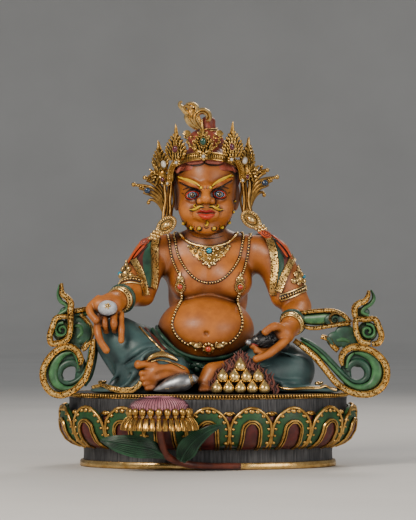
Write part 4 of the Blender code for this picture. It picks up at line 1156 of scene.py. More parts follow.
def trousers_clay():
    clay = Clay((-112, -68, PLATE - 3), (124, 66, 142), 1.22)
    clay.ball((0, 20, 91), (53, 40, 28), melt=8)
    clay.limb((-24, 12, 88, 25), (-79, -35, 113.5, 19.5), melt=8)
    clay.limb((-79, -36, 113, 19.5), (-58, -46, 102, 18), (-40, -50, 94, 14.5), (-30, -50, 89, 12), melt=4)
    clay.ball((-52, -48, 92), (16, 12, 14), melt=6)
    clay.limb((-77, -38, 110, 18.5), (-63, -41, 80, 18.5), (-61, -42, 70, 18), melt=6)
    clay.limb((-60, -42, 96, 19), (-46, -43, 74, 16), melt=8)
    clay.ball((-72, -44, 69), (32, 16, 4.6), melt=8)
    clay.limb((26, 14, 91, 25), (73, -16, 86, 21.5), melt=8)
    clay.limb((73, -16, 86, 21.5), (50, -32, 82, 17), (28, -40, 80, 13), melt=4)
    clay.ball((84, -36, 69), (34, 15, 4.6), melt=6)
    for points, radius in (
        ([(-76, -57, 94), (-65, -63, 101), (-55, -63, 107), (-46, -60, 109)], 1.7),
        ([(-59, -63, 97.5), (-52, -64.5, 103.4), (-45, -62, 105.4), (-38, -60, 104)], 1.6),
        ([(-88, -48, 104), (-78, -55, 106), (-66, -58, 112)], 1.3),
        ([(-70, -60, 90), (-62, -64, 93), (-56, -66, 97)], 1.4),
        ([(-60, -58, 88), (-66, -61, 82), (-74, -60, 74), (-84, -56, 70)], 1.8),
        ([(-52, -60, 82), (-58, -62, 76), (-64, -62, 71)], 1.6),
        ([(-80, -54, 92), (-80, -55, 84), (-88, -52, 74)], 1.5),
        ([(-96, -36, 112), (-92, -44, 98), (-84, -48, 84)], 1.4),
        ([(40, -52, 82), (54, -50, 79), (68, -44, 76), (84, -34, 76)], 1.4),
        ([(60, -40, 104), (74, -38, 100), (88, -28, 94)], 1.2),
        ([(66, -44, 74), (78, -46, 71), (96, -42, 71)], 1.4),
        ([(36, -54, 92), (46, -54, 90), (58, -50, 91)], 1.3),
    ):
        clay.fold(points, radius, melt=4.5)
    for points in (
        [(-74, -57.5, 91.6), (-63.5, -64, 98.6), (-54, -65, 104.6), (-45, -62, 106.8)],
        [(-57, -64.5, 95.2), (-50.5, -66, 101), (-44, -64, 103)],
        [(-66, -58, 86), (-72, -61, 78), (-80, -58, 72)],
        [(46, -54, 80), (60, -50, 77.5), (76, -42, 75)],
    ):
        clay.fold(points, 1.0, melt=2.5, carve=True)
    clay.cut_below(PLATE + 0.25)
    return clay


def hair_clay():
    """Hair drawn up under the crown to a bun and a bound knot, combed in locks."""
    x = HEAD_X
    clay = Clay((x - 38, -34, 212), (x + 38, 50, 322), 0.9)
    clay.ball((x, 9, 261), (31.2, 32.6, 27), melt=5)
    clay.ball((x, 21, 243), (27.8, 21, 33), melt=7)
    clay.ball((x - 0.5, 8, 291.5), (16.5, 16.5, 12), melt=3)
    clay.limb((0.0, 8, 298, 8.6), (0.2, 8, 308, 6.2), melt=1.5)
    clay.ball((0.2, 8, 310), (6.2, 6.2, 4.6), melt=2)
    part, px, py, pz = clay.block(clay.low, clay.low + clay.size * clay.step)
    swing = np.arctan2(px - x, py - 8.0)
    comb = 0.55 * np.abs(np.sin(swing * 9)) ** 0.7
    clay.field[part] += (0.5 - comb) * np.clip((pz - 222) / 8, 0, 1)
    face_side = np.minimum(6 - py - (pz - 250) * 0.16, 264 - pz) + 0 * px
    clay.merge(part, -face_side, 1.0, True)
    return clay


# Face and hair


def patch(heap, tree, low, high, lift=0.5, dome=0.5, rows=7, columns=17, sink=1.0):
    """A painted lens lying on a surface between two lines of (x, z) points, thickest in its middle."""
    low, high = (even(np.insert(curve(line, 8), 1, 0, axis=1), 0.4)[:, [0, 2]] for line in (low, high))
    share = np.linspace(0, 1, columns)
    low, high = (np.column_stack([np.interp(share, np.linspace(0, 1, len(s)), s[:, i]) for i in (0, 1)])
                 for s in (low, high))
    grid, under = [], []
    for r in np.linspace(0, 1, rows):
        line = low * (1 - r) + high * r
        hits = np.array([front(tree, x, z)[0] for x, z in line])
        swell = lift + dome * (1 - (2 * r - 1) ** 2)
        grid.append(hits - np.array((0, 1, 0)) * swell * (1 - abs(2 * share - 1) ** 4)[:, None])
        under.append(hits + np.array((0, sink, 0)))
    heap.grid(np.array(grid + under[::-1])[::-1], closed_u=True, cap=False)
    return grid


def laid_strand(heap, tree, points, width, height, lift=0.0, gap=0.8, section="round", sides=6):
    path, normals = lay_path(tree, points, gap, lift)
    ends = np.sin(np.linspace(0.15, math.pi - 0.15, len(path))) ** 0.5
    grown = np.interp(np.linspace(0, 1, len(path)), np.linspace(0, 1, np.size(width)), np.atleast_1d(width))
    heap.strand(path, grown * ends, height, face=normals, section=section, sides=sides)


def laid_curl(heap, tree, x, z, radius, start=0.0, turns=1.25, spin=1, thick=0.9, lift=0.3, bead=True):
    """A little spiral scroll on a surface, with a bead in its eye."""
    t = np.linspace(0, 1, 12)
    reach = radius * (1 - 0.72 * t)
    angle = math.radians(start) + spin * turns * 2 * math.pi * t
    flat = [(x + r * math.cos(a), z + r * math.sin(a)) for r, a in zip(reach, angle)]
    hits = [front(tree, *p) for p in flat]
    path = np.array([h + n * lift for h, n in hits])
    heap.strand(path, np.linspace(thick, thick * 0.6, len(path)), thick,
                face=np.array([n for _, n in hits]), sides=5)
    if bead:
        hit, normal = front(tree, x, z)
        heap.ball(hit + normal * lift, max(0.35, radius * 0.3), sides=8, rings=5)


def dot(heap, tree, x, z, radii, turn=None, lift=0.0, sides=10, rings=6):
    hit, normal = front(tree, x, z)
    heap.ball(hit + normal * lift, radii, turn, sides, rings)


def eyes():
    tree = surface("head")
    points, faces, out, rim, count = [], [], [], [], 0
    rims = Heap()
    for x, z, spin in ((-14.0, 242.0, 1), (10.2, 242.8, -1)):
        rings, sides = 16, 44
        for ring in range(rings + 1):
            share = ring / rings
            for k in range(sides):
                a = 2 * math.pi * k / sides
                px = x + 6.0 * share * math.cos(a)
                pz = z + 3.8 * share * math.sin(a) + 0.7 * spin * share * math.cos(a)
                hit, _ = front(tree, px, pz)
                points.append(hit - np.array((0, 1.3 * math.cos(share * math.pi / 2) + 0.15, 0)))
                out.append(math.hypot(px - x, pz - z))
                rim.append(share)
        for ring in range(rings):
            for k in range(sides):
                a, b = count + ring * sides + k, count + ring * sides + (k + 1) % sides
                faces.append((a, b, b + sides, a + sides))
        count += (rings + 1) * sides
        for first, last, wide, tall, thick in ((0.1, math.pi - 0.1, 6.5, 4.3, 1.2),
                                               (3.3, 6.1, 6.4, 4.2, 0.7)):
            arc = np.linspace(first, last, 9)
            laid_strand(rims, tree,
                        [(x + wide * math.cos(a), z + tall * math.sin(a) + 0.7 * spin * math.cos(a))
                         for a in arc], thick, thick, 0.2)
        laid_strand(rims, tree,
                    [(x - spin * 8.4, z + 5.4), (x - spin * 2, z + 7.0), (x + spin * 4, z + 4.4)], 1.1,
                    0.8, 0.1)
        laid_strand(rims, tree, [(x - spin * 7.6, z + 1.0), (x - spin * 9.6, z + 2.4)], 0.8, 0.6, 0.1)
    made = make_mesh("eyes", points, np.array(faces)[:, ::-1], finish("eye"),
                     {"out_mm": out, "rim_share": rim})
    hand_over(made, slot="skin_paint")
    for side in (-1, 1):
        x = HEAD_X + side * 5.2
        laid_strand(rims, tree,
                    [(x + side * 2.8, 239.4), (x + side * 3.9, 236.4), (x + side * 2.6, 233.4),
                     (x + side * 0.2, 232.8)], 0.8, 0.8, 0.0)
        if side < 0:
            brow = [(-26, 254.4), (-19.9, 251.2), (-12, 247.6), (-7.6, 246.6)]
        else:
            brow = [(21.6, 255.6), (16, 252.4), (9, 248.6), (4.2, 247)]
        laid_strand(rims, tree, brow, 1.5, 1.2, 0.3)
        laid_strand(rims, tree, [(px + side * 0.4, pz + 3.9) for px, pz in brow], 0.9, 0.9, 0.3)
    neck = surface("head", "torso")
    for z in (203.6, 207.6):
        laid_strand(rims, neck, [(-15, z + 2.8), (-9, z + 0.8), (-1, z), (8, z + 0.8), (14, z + 2.8)], 0.8,
                    0.5, 0.0)
    heap_piece("face_lines", rims, finish("line"), slot="skin_paint")


def brows_and_beard():
    """Flame brows, moustache and the curls of the beard in yellow hair paint."""
    tree = surface("head")
    hair, under, dark = Heap(), Heap(), Heap()
    for line in (((-25.6, 257.6), (-17.6, 254.8), (-10.8, 251.9), (-6.8, 249.4)),
                 ((21.0, 259.2), (13.8, 255.9), (7.6, 252.5), (3.4, 249.6))):
        laid_strand(under, tree, [(x, z - 1.9) for x, z in line], (3.4, 4.8, 3.4), 2.2, 0.3)
        laid_strand(hair, tree, line, (2.2, 3.2, 2.6), 2.8, 1.1)
        path = curve(line, 5)
        out = 1 if path[0][0] > 0 else -1
        for i in range(2, len(path) - 2, 2):
            x, z = path[i]
            laid_strand(hair, tree, [(x - out * 1.4, z - 1.0), (x, z + 0.4), (x + out * 1.4, z + 1.3)],
                        (1.4, 0.7), 1.4, 1.0)
    for x, z in ((-6.0, 248.4), (2.2, 248.6)):
        dot(hair, tree, x, z, (1.35, 1.2, 1.35), lift=0.5)
    for side in (-1, 1):
        x = -1.5
        low = [(x + side * 2.4, 231.8), (x + side * 6.0, 231.6), (x + side * 10.4, 229.2),
               (x + side * 15.2, 229.4)]
        laid_strand(hair, tree, low, (1.0, 2.4, 2.2, 0.9), 1.8, 0.7)
        laid_strand(hair, tree,
                    [(x + side * 8.5, 230.4), (x + side * 10.6, 232.4), (x + side * 9.2, 233.4)],
                    (1.6, 0.9), 1.4, 0.7)
        laid_strand(dark, tree, [(px, pz - 1.3) for px, pz in low], 0.9, 0.8, 0.1)
    spots = ((-21.6, 217.6), (-14.4, 213.6), (-7.6, 212.6), (5.3, 212.6), (12.4, 214.2), (19.6, 218.4),
             (23.4, 227.4), (24.2, 237.4))
    for x, z in spots:
        small = 0.7 if x > 22 else 1.0
        ring = [(x + 2.5 * small * math.cos(a), z + 2.5 * small * math.sin(a))
                for a in np.linspace(2.7, 6.8, 8)]
        laid_strand(dark, tree, ring, 0.9, 0.9, 0.1)
        dot(dark, tree, x, z, (2.0 * small, 0.9, 2.0 * small), lift=0.1)
        dot(hair, tree, x, z, (1.6 * small, 1.4, 1.6 * small), lift=0.7)
        laid_curl(hair, tree, x, z, 1.7 * small, 200, 0.7, 1, 0.8, 0.6, bead=False)
    laid_strand(dark, tree, [(-3.8, 213.6), (-1.4, 212.4), (1.0, 213.6)], 0.8, 0.8, 0.1)
    laid_strand(hair, tree, [(-1.2, 219.4), (-0.2, 217.0), (-1.6, 214.8), (-3.2, 215.8)],
                (0.8, 1.8, 1.8, 0.9), 1.4, 0.6)
    for rim in ([(-24.6, 223), (-22.6, 215.8), (-17.4, 211.8), (-10.6, 209.9)],
                [(7.6, 209.9), (15.2, 212), (20.4, 216.6), (22.6, 223)]):
        laid_strand(dark, tree, rim, 1.3, 1.0, 0.0)
    heap_piece("yellow_hair", hair, finish("yellow"), slot="skin_paint")
    heap_piece("brow_ground", under, finish("amber"), slot="skin_paint")
    heap_piece("beard_ground", dark, finish("line"), slot="skin_paint")


def lips():
    tree = surface("head")
    heap, lower = Heap(), Heap()
    patch(heap, tree, [(-10.6, 226.0), (-5.5, 226.4), (-1.6, 225.8), (2.4, 226.4), (7.4, 226.2)],
          [(-10.6, 226.2), (-5.2, 229.0), (-1.6, 227.9), (2.0, 229.0), (7.4, 226.4)], 0.35, 0.7)
    patch(lower, tree, [(-9.0, 224.7), (-5.6, 221.0), (-1.4, 219.9), (2.6, 221.0), (6.4, 224.7)],
          [(-9.0, 224.9), (-5.2, 225.4), (-1.6, 225.0), (2.0, 225.4), (6.4, 224.9)], 0.4, 1.4)
    heap_piece("upper_lip", heap, finish("lips"), slot="skin_paint")
    heap_piece("lower_lip", lower, finish("lower_lip"), slot="skin_paint")


def hairline():
    """The coral scallops of the drawn-up hair over the brow, each with a dark edge."""
    tree = surface("head")
    coral, dark = Heap(), Heap()
    for x, z, turn, half in ((-11.6, 271.4, 0, 8.2), (5.4, 271.6, 0, 8.2), (-24.4, 266.2, -40, 6.0),
                             (21.2, 267.0, 40, 6.0)):
        hit, normal = front(tree, x, z)
        yaw = math.degrees(math.atan2(normal[0], -normal[1]))
        coral.ball(hit + normal * 0.6, (half, 2.0, 2.6), (-20, turn, yaw * 0.6), sides=18, rings=10)
        t = math.radians(turn)
        line = [(x + half * 1.04 * math.cos(a) * math.cos(t) + 3.1 * math.sin(a) * math.sin(t),
                 z - half * 1.04 * math.cos(a) * math.sin(t) + 3.1 * math.sin(a) * math.cos(t))
                for a in np.linspace(3.2, 6.2, 8)]
        laid_strand(dark, tree, line, 0.9, 0.9, 0.5)
    heap_piece("hair_scallops", coral, finish("scallop"), slot="skin_paint")
    heap_piece("hairline", dark, finish("line"), slot="skin_paint")


# Crown and jewels of the head

CROWN_HALF_WIDTH = 31.6
CROWN_HALF_DEPTH = 34
CROWN_MIDDLE = 7
CROWN_LEVEL = 277.0
CROWN_DROP = 12


def flat_curl(heap, x, z, radius, y=0.0, start=0.0, turns=1.25, spin=1, thick=1.0, bead=True):
    """A spiral scroll in a plane facing -Y."""
    t = np.linspace(0, 1, 12)
    reach = radius * (1 - 0.72 * t)
    angle = math.radians(start) + spin * turns * 2 * math.pi * t
    path = np.column_stack([x + reach * np.cos(angle), y + 0 * t, z + reach * np.sin(angle)])
    heap.strand(path, np.linspace(thick, thick * 0.6, len(path)), thick, sides=5)
    if bead:
        heap.ball((x, y - 0.2, z), max(0.45, radius * 0.34), sides=8, rings=5)


def flame(heap, x, y, z, angle, size=1.0):
    """A small pointed lick of gilding facing -Y, its point at an angle from upright."""
    s, c = math.sin(math.radians(angle)) * size, math.cos(math.radians(angle)) * size
    heap.strand([(x - 1.1 * s, y + 0.4, z - 1.1 * c), (x + 0.7 * s, y - 0.6, z + 0.7 * c),
                 (x + 2.2 * s, y, z + 2.2 * c)], np.array((1.3, 2.2, 1.1)) * size, 1.9 * size, sides=6)


def spray(heap, x, y, z, wide, tall, rings=3, fan=150):
    """Flames that radiate from a point in an oval."""
    for ring in range(1, rings + 1):
        count = 2 + 3 * ring
        for a in np.linspace(-fan, fan, count):
            r = math.radians(a)
            share = ring / rings
            flame(heap, x + wide * share * math.sin(r), y + 0.5 * ring, z + tall * share * math.cos(r),
                  a * 0.9, 1.05)


def crown_leaf(height, half, tiers):
    """One leaf of the crown, standing on the origin and facing -Y: tier on tier of small flames over a dark
    ground, drawn up to a spike."""
    gold, ground = Heap(), Heap()
    outline = np.array(((-0.12, 0.5), (0.04, 0.84), (0.2, 1.0), (0.36, 0.84), (0.5, 0.54), (0.62, 0.3),
                        (0.78, 0.16), (0.95, 0.05)))
    levels, widths = outline[:, 0] * height, outline[:, 1] * half
    gold.strand([(0, -0.6, height * 0.4), (0, -1.4, height * 0.62), (0, -0.8, height * 0.8), (0, 0, height)],
                (1.6, 2.8, 2.2, 0.7), (2.0, 2.6, 2.0, 0.9), sides=8)
    for tier in range(tiers):
        level = height * (-0.07 + 0.70 * tier / (tiers - 1))
        wide = float(np.interp(level + 1.6, levels, widths))
        count = max(2, round(2 * wide / 2.5))
        for k in range(count):
            x = wide * (2 * (k + 0.5) / count - 1)
            flame(gold, x, -0.9 - 0.6 * ((k + tier) % 2), level, 34 * x / max(wide, 2.0), 1.0)
        for side in (-1, 1):
            if wide > 2.4:
                flame(gold, side * (wide - 0.2), -0.6, level + 0.4, side * 34, 1.2)
                gold.ball((side * (wide + 0.7), -0.8, level + 2.0), 1.35, sides=8, rings=6)
    rings = [[(-w, 1.0, v), (0, -0.2, v), (w, 1.0, v), (0, 1.8, v)] for v, w in zip(levels, widths * 0.96)]
    ground.grid(np.array(rings)[::-1], closed_v=True, cap=True)
    return gold, ground


def cabochon(stones, gold, centre, radii, matrix=None, bezel=0.8):
    """An oval stone in a gilt bezel, facing -Y, or moved by a matrix."""
    stone_heap, setting = Heap(), Heap()
    stone_heap.ball(centre, radii, sides=18, rings=10)
    ring = [(centre[0] + (radii[0] + bezel * 0.3) * math.cos(a), centre[1] + radii[1] * 0.15,
             centre[2] + (radii[2] + bezel * 0.3) * math.sin(a))
            for a in np.linspace(0, 2 * math.pi, 21)[:-1]]
    setting.strand(ring, bezel, bezel * 1.4, closed=True, sides=6)
    for heap, part in ((stones, stone_heap), (gold, setting)):
        heap.placed(part, matrix if matrix is not None else Matrix.Identity(4))


def standing(place, facing, lean_out=0.0, lean_side=0.0):
    """A matrix that stands a leaf at a place: its facing and its leans out and sideways, in degrees."""
    turn = Euler((math.radians(lean_out), math.radians(lean_side), 0)).to_matrix().to_4x4()
    return Matrix.Translation(place) @ Matrix.Rotation(math.radians(facing), 4, "Z") @ turn


def boss(gold, pearls, matrix, size=1.0):
    """A six-petalled flower boss with a pearl in its middle."""
    flower, pearl = Heap(), Heap()
    for k in range(6):
        a = math.radians(60 * k + 30)
        flower.ball((2.3 * size * math.cos(a), 0, 2.3 * size * math.sin(a)),
                    (1.35 * size, 1.1, 1.35 * size), sides=8, rings=6)
    pearl.ball((0, -1.0, 0), 1.5 * size, sides=14, rings=8)
    gold.placed(flower, matrix)
    pearls.placed(pearl, matrix)


def crown_point(angle, out=0.0):
    """A point on the crown's band at degrees from the front."""
    a = math.radians(angle)
    level = CROWN_LEVEL - CROWN_DROP * (1 - math.cos(a))
    return np.array(((CROWN_HALF_WIDTH + out) * math.sin(a) + HEAD_X,
                     CROWN_MIDDLE - (CROWN_HALF_DEPTH + out) * math.cos(a), level))


def crown_pieces():
    gold, ground, pearls, garnets, green = (Heap() for _ in range(5))
    ring = np.array([crown_point(a) for a in np.arange(-180, 180, 3)])
    outward = unit(ring * (1, 1, 0) - np.array((HEAD_X, 7, 0)))
    for rise, size in ((3.0, 1.5), (-3.0, 1.3)):
        gold.strand(ring + np.array((0, 0, rise)), size, size, face=outward, closed=True, sides=6)
    ground.grid(np.array([[p + np.array((0, 0, -3.4)) - o * 1.0, p + np.array((0, 0, -3.4)) + o * 0.2,
                           p + np.array((0, 0, 3.4)) + o * 0.2, p + np.array((0, 0, 3.4)) - o * 1.0]
                          for p, o in zip(ring, outward)]), closed_u=True, closed_v=True)
    for angle in np.arange(-177, 178, 3.0):
        gold.ball(crown_point(angle, 0.5), (0.66, 0.9, 2.4), (0, 0, angle), sides=6, rings=6)
    leaves = (
        ((-4.2, -28.5, 280.5), 0, 6, -2.4, 29.0, 7.6, 7),
        ((-28.2, -18.5, 276.5), -24, 8, 2.0, 29.6, 9.2, 8),
        ((21.4, -18.5, 279.0), 26, 8, -2.0, 29.2, 9.2, 8),
        ((-41.6, -3.0, 267.5), -46, 8, -3.0, 24.6, 9.4, 7),
        ((34.0, -3.0, 270.5), 48, 8, 1.0, 24.8, 8.4, 7),
    )
    for place, facing, lean, side, height, half, tiers in leaves:
        leaf, back = crown_leaf(height, half, tiers)
        m = standing(Vector(place), facing, lean, side)
        gold.placed(leaf, m)
        ground.placed(back, m)
    cabochon(pearls, gold, (0, 0, 0), (2.7, 1.8, 3.4), standing(Vector((-39.8, -9.4, 270.4)), -34, 0, -22))
    cabochon(pearls, gold, (0, 0, 0), (2.7, 1.8, 3.4), standing(Vector((33.0, -9.4, 273.6)), 34, 0, 22))
    cabochon(garnets, gold, (0, 0, 0), (2.6, 1.9, 3.4), standing(Vector((-29.4, -22.2, 283.3)), -20, 6, 12))
    cabochon(garnets, gold, (0, 0, 0), (2.6, 1.9, 3.4), standing(Vector((21.4, -22.2, 285.4)), 22, 6, -20))
    cabochon(green, gold, (0, 0, 0), (2.8, 2.0, 3.4), standing(Vector((-4.4, -32.6, 289.6)), 0, 4))
    for side in (-1, 1):
        x, up = -4.2, 0 if side < 0 else 2.4
        arm = curve([(x + side * 1.5, -30.5, 280), (x + side * 7, -29, 282.2), (x + side * 12, -27, 286.6),
                     (x + side * 14.2, -25, 292)], 5)
        gold.strand(arm, np.linspace(2.4, 1.7, len(arm)), 2.2, sides=6)
        for k, (px, py, pz) in enumerate(arm[3::2]):
            flame(gold, px + side * 0.6, py - 0.8, pz + 0.8, side * 70 - 90 * (k % 2), 1.0)
        spray(gold, x + side * 14.4, -25.5, 294.0, 1.8, 3.6, 2, 60)
        for dx, dz in ((6.0, 286.6), (8.6, 289.8), (10.4, 293.6), (6.4, 291.0)):
            flat_curl(gold, x + side * dx, dz, 1.9, -28 + 0.2 * dx, 90, 1.2, side, 1.1)
        for px, py, pz, size in ((-27.8 if side < 0 else 20.6, -25.4, 271.0 if side < 0 else 273.8, 1.0),
                                 (-35.8 if side < 0 else 30.6, -15, 252.8 if side < 0 else 255.4, 0.8)):
            boss(gold, pearls, standing(Vector((px, py, pz)), side * 30), size)
        low = curve([(side * 27.6 + HEAD_X, -15, 272.6 + up * 0.4),
                     (side * 31.4 + HEAD_X, -12, 264.6 + up * 0.4),
                     (side * 32.4 + HEAD_X, -10, 255 + up * 0.4)], 8)
        ground.strand(low, 4.4, 2.0, sides=8)
        for shift in (-2.1, 2.1):
            gold.strand(low + np.array((side * shift, abs(shift) * 0.4 - 0.8, 0)), 1.4, 1.6, sides=6)
        for px, py, pz in even(low, 2.4):
            gold.ball((px, py - 1.0, pz), (1.6, 0.9, 0.75), (0, side * 8, 0), sides=6, rings=6)
        cx, cz = (-43.6, 261.0) if side < 0 else (37.2, 264.4)
        spray(gold, cx, -5, cz, 7.6, 8.2, 3, 160)
        ground.ball((cx, -1.5, cz), (7.0, 2.5, 8.4), (0, side * 10, side * 30), sides=14, rings=8)
        flat_curl(gold, cx + side * 6.4, cz + 1.5, 2.2, -5.5, 60, 1.2, side, 1.3)
        cabochon(garnets, gold, (0, 0, 0), (1.9, 1.5, 2.3),
                 standing(Vector((-40.8 if side < 0 else 35.4, -9.6, 256.6 + up)), side * 30))
    boss(gold, pearls, standing(Vector((-4.0, -31.5, 276.2)), 0), 1.15)
    for a in np.linspace(0, 2 * math.pi, 15)[:-1]:
        gold.ball((-4.4 + 5.0 * math.cos(a), -31.6, 289.6 + 5.4 * math.sin(a)), (1.15, 1.1, 1.15), sides=8,
                  rings=6)
    ear_fans(gold)
    heap_piece("crown_gilding", gold, finish("gold"), "crown", slot="antique_gilding")
    heap_piece("crown_ground", ground, finish("old_gold"), slot="antique_gilding")
    heap_piece("crown_pearls", pearls, finish("pearl"), slot="antique_gilding")
    heap_piece("crown_garnets", garnets, finish("garnet"), slot="antique_gilding")
    heap_piece("crown_emerald_glass", green, finish("green_stone"), slot="antique_gilding")


def ear_fans(gold):
    """The gilt ribbon ends that fan out over each ear, their dark blue stones and the locks before them."""
    blue, locks = Heap(), Heap()
    for side, up, out in ((-1, 0.0, 0.0), (1, 6.8, -4.6)):
        def at(x, y, z):
            return (side * (x + out * (x - 30) / 36), y, z + up)
        foot = 219 if side < 0 else 225
        for k, wide in enumerate((2.2, 3.0, 2.4, 3.2)):
            x = 31.0 + 2.4 * k - (0 if side < 0 else 1.4)
            sway = 0.7 * math.cos(2.2 * k)
            locks.strand(
                curve([(side * (x - 0.6), 2 - k, 262), (side * (x + sway), -k, 250),
                       (side * (x + 0.4 - sway), -2 - k, 238), (side * (x + 0.8 + sway), -4 - k, 229),
                       (side * (x + 2.2), -6 - k, foot)], 5), wide, 3.0, sides=8)
        fans = (((36, 2, 230), (37.6, 1, 238), (41.5, 0, 248.4), (46.5, 0, 254.6), (51.5, 0, 258),
                 (56.4, 0, 258.6), 3.0),
                ((37, 1, 230), (38.6, 0, 238), (43, -1, 246.4), (47.6, -1, 251.8), (52, -1, 255),
                 (55.4, -1, 256.2), 3.0),
                ((38, 0, 230), (39.4, -1, 237), (44, -2, 244.4), (49, -2, 248.8), (55, -1, 251.0),
                 (66.6, 0, 252.2), 3.2),
                ((38.4, 0, 228), (40.6, -1, 235), (45, -1.6, 241.6), (50, -2, 245.6), (56, -1, 247.4),
                 (62, -0.5, 249.4), 3.2),
                ((39, 0, 226), (41.2, 0, 233), (45.6, -1, 239), (50, -1, 242.4), (54.4, -0.5, 244),
                 (58, 0, 245.4), 3.0),
                ((39, 1, 225), (42, 1, 232), (46, 0.5, 236.8), (50, 0.6, 238.8), (52.6, 0.6, 238.2),
                 (53.4, 0.6, 236.2), 3.0),
                ((36, 3, 234), (38, 2, 243), (42, 1, 250.4), (46.4, 0.6, 255.6), (49.6, 0.6, 259),
                 (50.6, 0.6, 261.4), 2.6),)
        for *points, thick in fans:
            path = curve([at(*p) for p in points], 5)
            locks.strand(path, thick * np.linspace(1.1, 0.85, len(path)), 2.6, sides=8)
        for place, size in ((at(67, 0, 252.4), 2.1), (at(56.8, 0, 258.6), 2.0),
                            (at(53.6, 0.5, 236.2), 1.8), (at(50.8, 0.5, 261.6), 1.6)):
            gold.ball(place, size, sides=12, rings=8)
        for k in range(4):
            gold.ball(at(58.5 + 2.1 * k, -1.6, 249.8 + 0.7 * k), 1.2, sides=8, rings=6)
            gold.ball(at(51 + 1.9 * k, -1.6, 256.2 + 0.6 * k), 1.0, sides=8, rings=6)
        cabochon(blue, gold, at(54.4, -3.4, 247.0), (3.0, 2.0, 2.7))
    heap_piece("ear_ribbons", locks, finish("worn_gold"), slot="antique_gilding")
    heap_piece("ear_stones", blue, finish("blue_stone"), slot="antique_gilding")


def finial():
    """The curling gilt flame before the topknot, in close-set raised lines."""
    gold = Heap()
    y = -5.0
    lines = (([(-6, 303.2), (-8.4, 307.5), (-10.2, 311.6), (-8.8, 315.3), (-5.6, 316.8), (-2.6, 316.0),
               (-0.8, 313.7), (-1.6, 311.4)], (2.8, 2.9, 2.7, 2.0)),
             ([(-7.4, 302.6), (-10.9, 306.8), (-12.9, 311.6), (-11.6, 316.4), (-7.6, 319.2), (-2.6, 319.2),
               (1.0, 316.4), (1.9, 312.6), (0.4, 309.6), (-1.6, 309.6)], (3.6, 3.8, 3.8, 3.6, 2.6)),
             ([(-8.6, 302.4), (-14.3, 305.6), (-18.0, 310), (-19.6, 313.4), (-18.0, 315), (-16.6, 313.6)],
              (4.2, 5.4, 3.8, 2.0)),
             ([(-11, 305), (-15.3, 311.5), (-15.2, 317.2), (-16.4, 321), (-19.6, 322.8), (-21.4, 320.8),
               (-19.6, 319.2)], (4.2, 4.4, 3.4, 2.0)),
             ([(-14.4, 312), (-19.6, 317), (-22.8, 320.8), (-25.4, 323.4), (-25.4, 326), (-23.2, 326.9)],
              (4.0, 5.0, 4.2, 2.8, 1.8)),
             ([(-11.6, 315.8), (-9.8, 320.4), (-11.8, 323.6), (-15.6, 325.2), (-19.8, 324.2)],
              (3.4, 4.2, 3.6, 2.2)), ([(-6, 301), (-7, 297)], (4.0, 3.0)),)
    for points, widths in lines:
        flat = curve(points, 6)
        path = np.column_stack([flat[:, 0], np.full(len(flat), y), flat[:, 1]])
        grown = np.interp(np.linspace(0, 1, len(path)), np.linspace(0, 1, len(widths)), widths)
        gold.strand(path, grown, 4.4, sides=8)
        inner = path + np.array((0, -2.0, 0))
        gold.strand(inner, grown * 0.45, 1.4, sides=6)
    flat_curl(gold, -13.4, 322.6, 1.8, y - 1.6, 0, 1.3, 1, 1.0)
    ground = Heap()
    body = [(-7, 303), (-11, 309), (-14.6, 315), (-17, 320.5)]
    path = curve(body, 5)
    ground.strand(np.column_stack([path[:, 0], np.full(len(path), y + 0.8), path[:, 1]]),
                  np.interp(np.linspace(0, 1, len(path)), (0, 0.5, 1), (7, 12, 9)), 3.0, sides=10)
    heap_piece("finial", gold, finish("bright_gold"), "hair_jewel", slot="antique_gilding")
    heap_piece("finial_ground", ground, finish("old_gold"), slot="antique_gilding")
    knot = Heap()
    for z, size in ((300.6, 1.6), (302.4, 1.2)):
        ring = [(0.2 + 8.6 * math.cos(a), 8 + 8.6 * math.sin(a), z + 0.8 * math.cos(a))
                for a in np.linspace(0, 2 * math.pi, 37)[:-1]]
        knot.strand(ring, size, size, face=(0, 0, 1), closed=True, sides=8)
    heap_piece("knot_binding", knot, finish("plain_gold"), slot="antique_gilding")


def earrings():
    for name, side, x, z, tilt in (("earring_right", -1, -37.2, 215.6, -38),
                                   ("earring_left", 1, 38.4, 220.6, 38)):
        gold, ground, disc, recess = Heap(), Heap(), Heap(), Heap()
        m = Matrix.Translation((x, -13, z)) @ Matrix.Rotation(math.radians(tilt), 4, "Y")
        recess.ball((0, 0.9, 0), (9.6, 2.4, 6.4), sides=28, rings=10)
        for grown, size in ((1.0, 1.5), (0.74, 1.1), (0.5, 1.0)):
            ring = [(9.6 * grown * math.cos(a), -0.9 - (1 - grown) * 2, 6.4 * grown * math.sin(a))
                    for a in np.linspace(0, 2 * math.pi, 33)[:-1]]
            disc.strand(ring, size, size, closed=True, sides=6)
        for k in range(26):
            a = 2 * math.pi * k / 26
            disc.ball((8.5 * math.cos(a), -1.6, 5.6 * math.sin(a)), 0.95, sides=8, rings=6)
        disc.ball((0, -1.8, 0), (5.0, 3.0, 3.0), sides=8, rings=4)
        gold.placed(disc, m)
        ground.placed(recess, m)
        for k, (dx, dz, r) in enumerate(
            ((5.6, -5.6, 1.9), (8.4, -4.0, 1.7), (4.6, -8.2, 1.7), (8.0, -7.2, 2.1), (11, -6.2, 1.8),
             (7.4, -10.2, 1.8), (10.6, -9.4, 2.1), (13.2, -8.6, 1.7), (10.2, -12.2, 1.7), (13, -11.4, 1.8),
             (15, -12, 1.5))):
            gold.ball((x + side * dx, -13.4 - 0.4 * (k % 2), z + dz), (r, r * 0.8, r), sides=10, rings=8)
        gold.strand([(x - side * 3.5, -8, z + 9.5), (x - side * 2, -11, z + 6), (x, -13, z + 3)], 3.0, 3.0,
                    sides=8)
        heap_piece(name + "_gilding", gold, finish("bright_gold"), name, slot="antique_gilding")
        heap_piece(name + "_recess", ground, finish("old_gold"), slot="antique_gilding")


# Jewels of the body


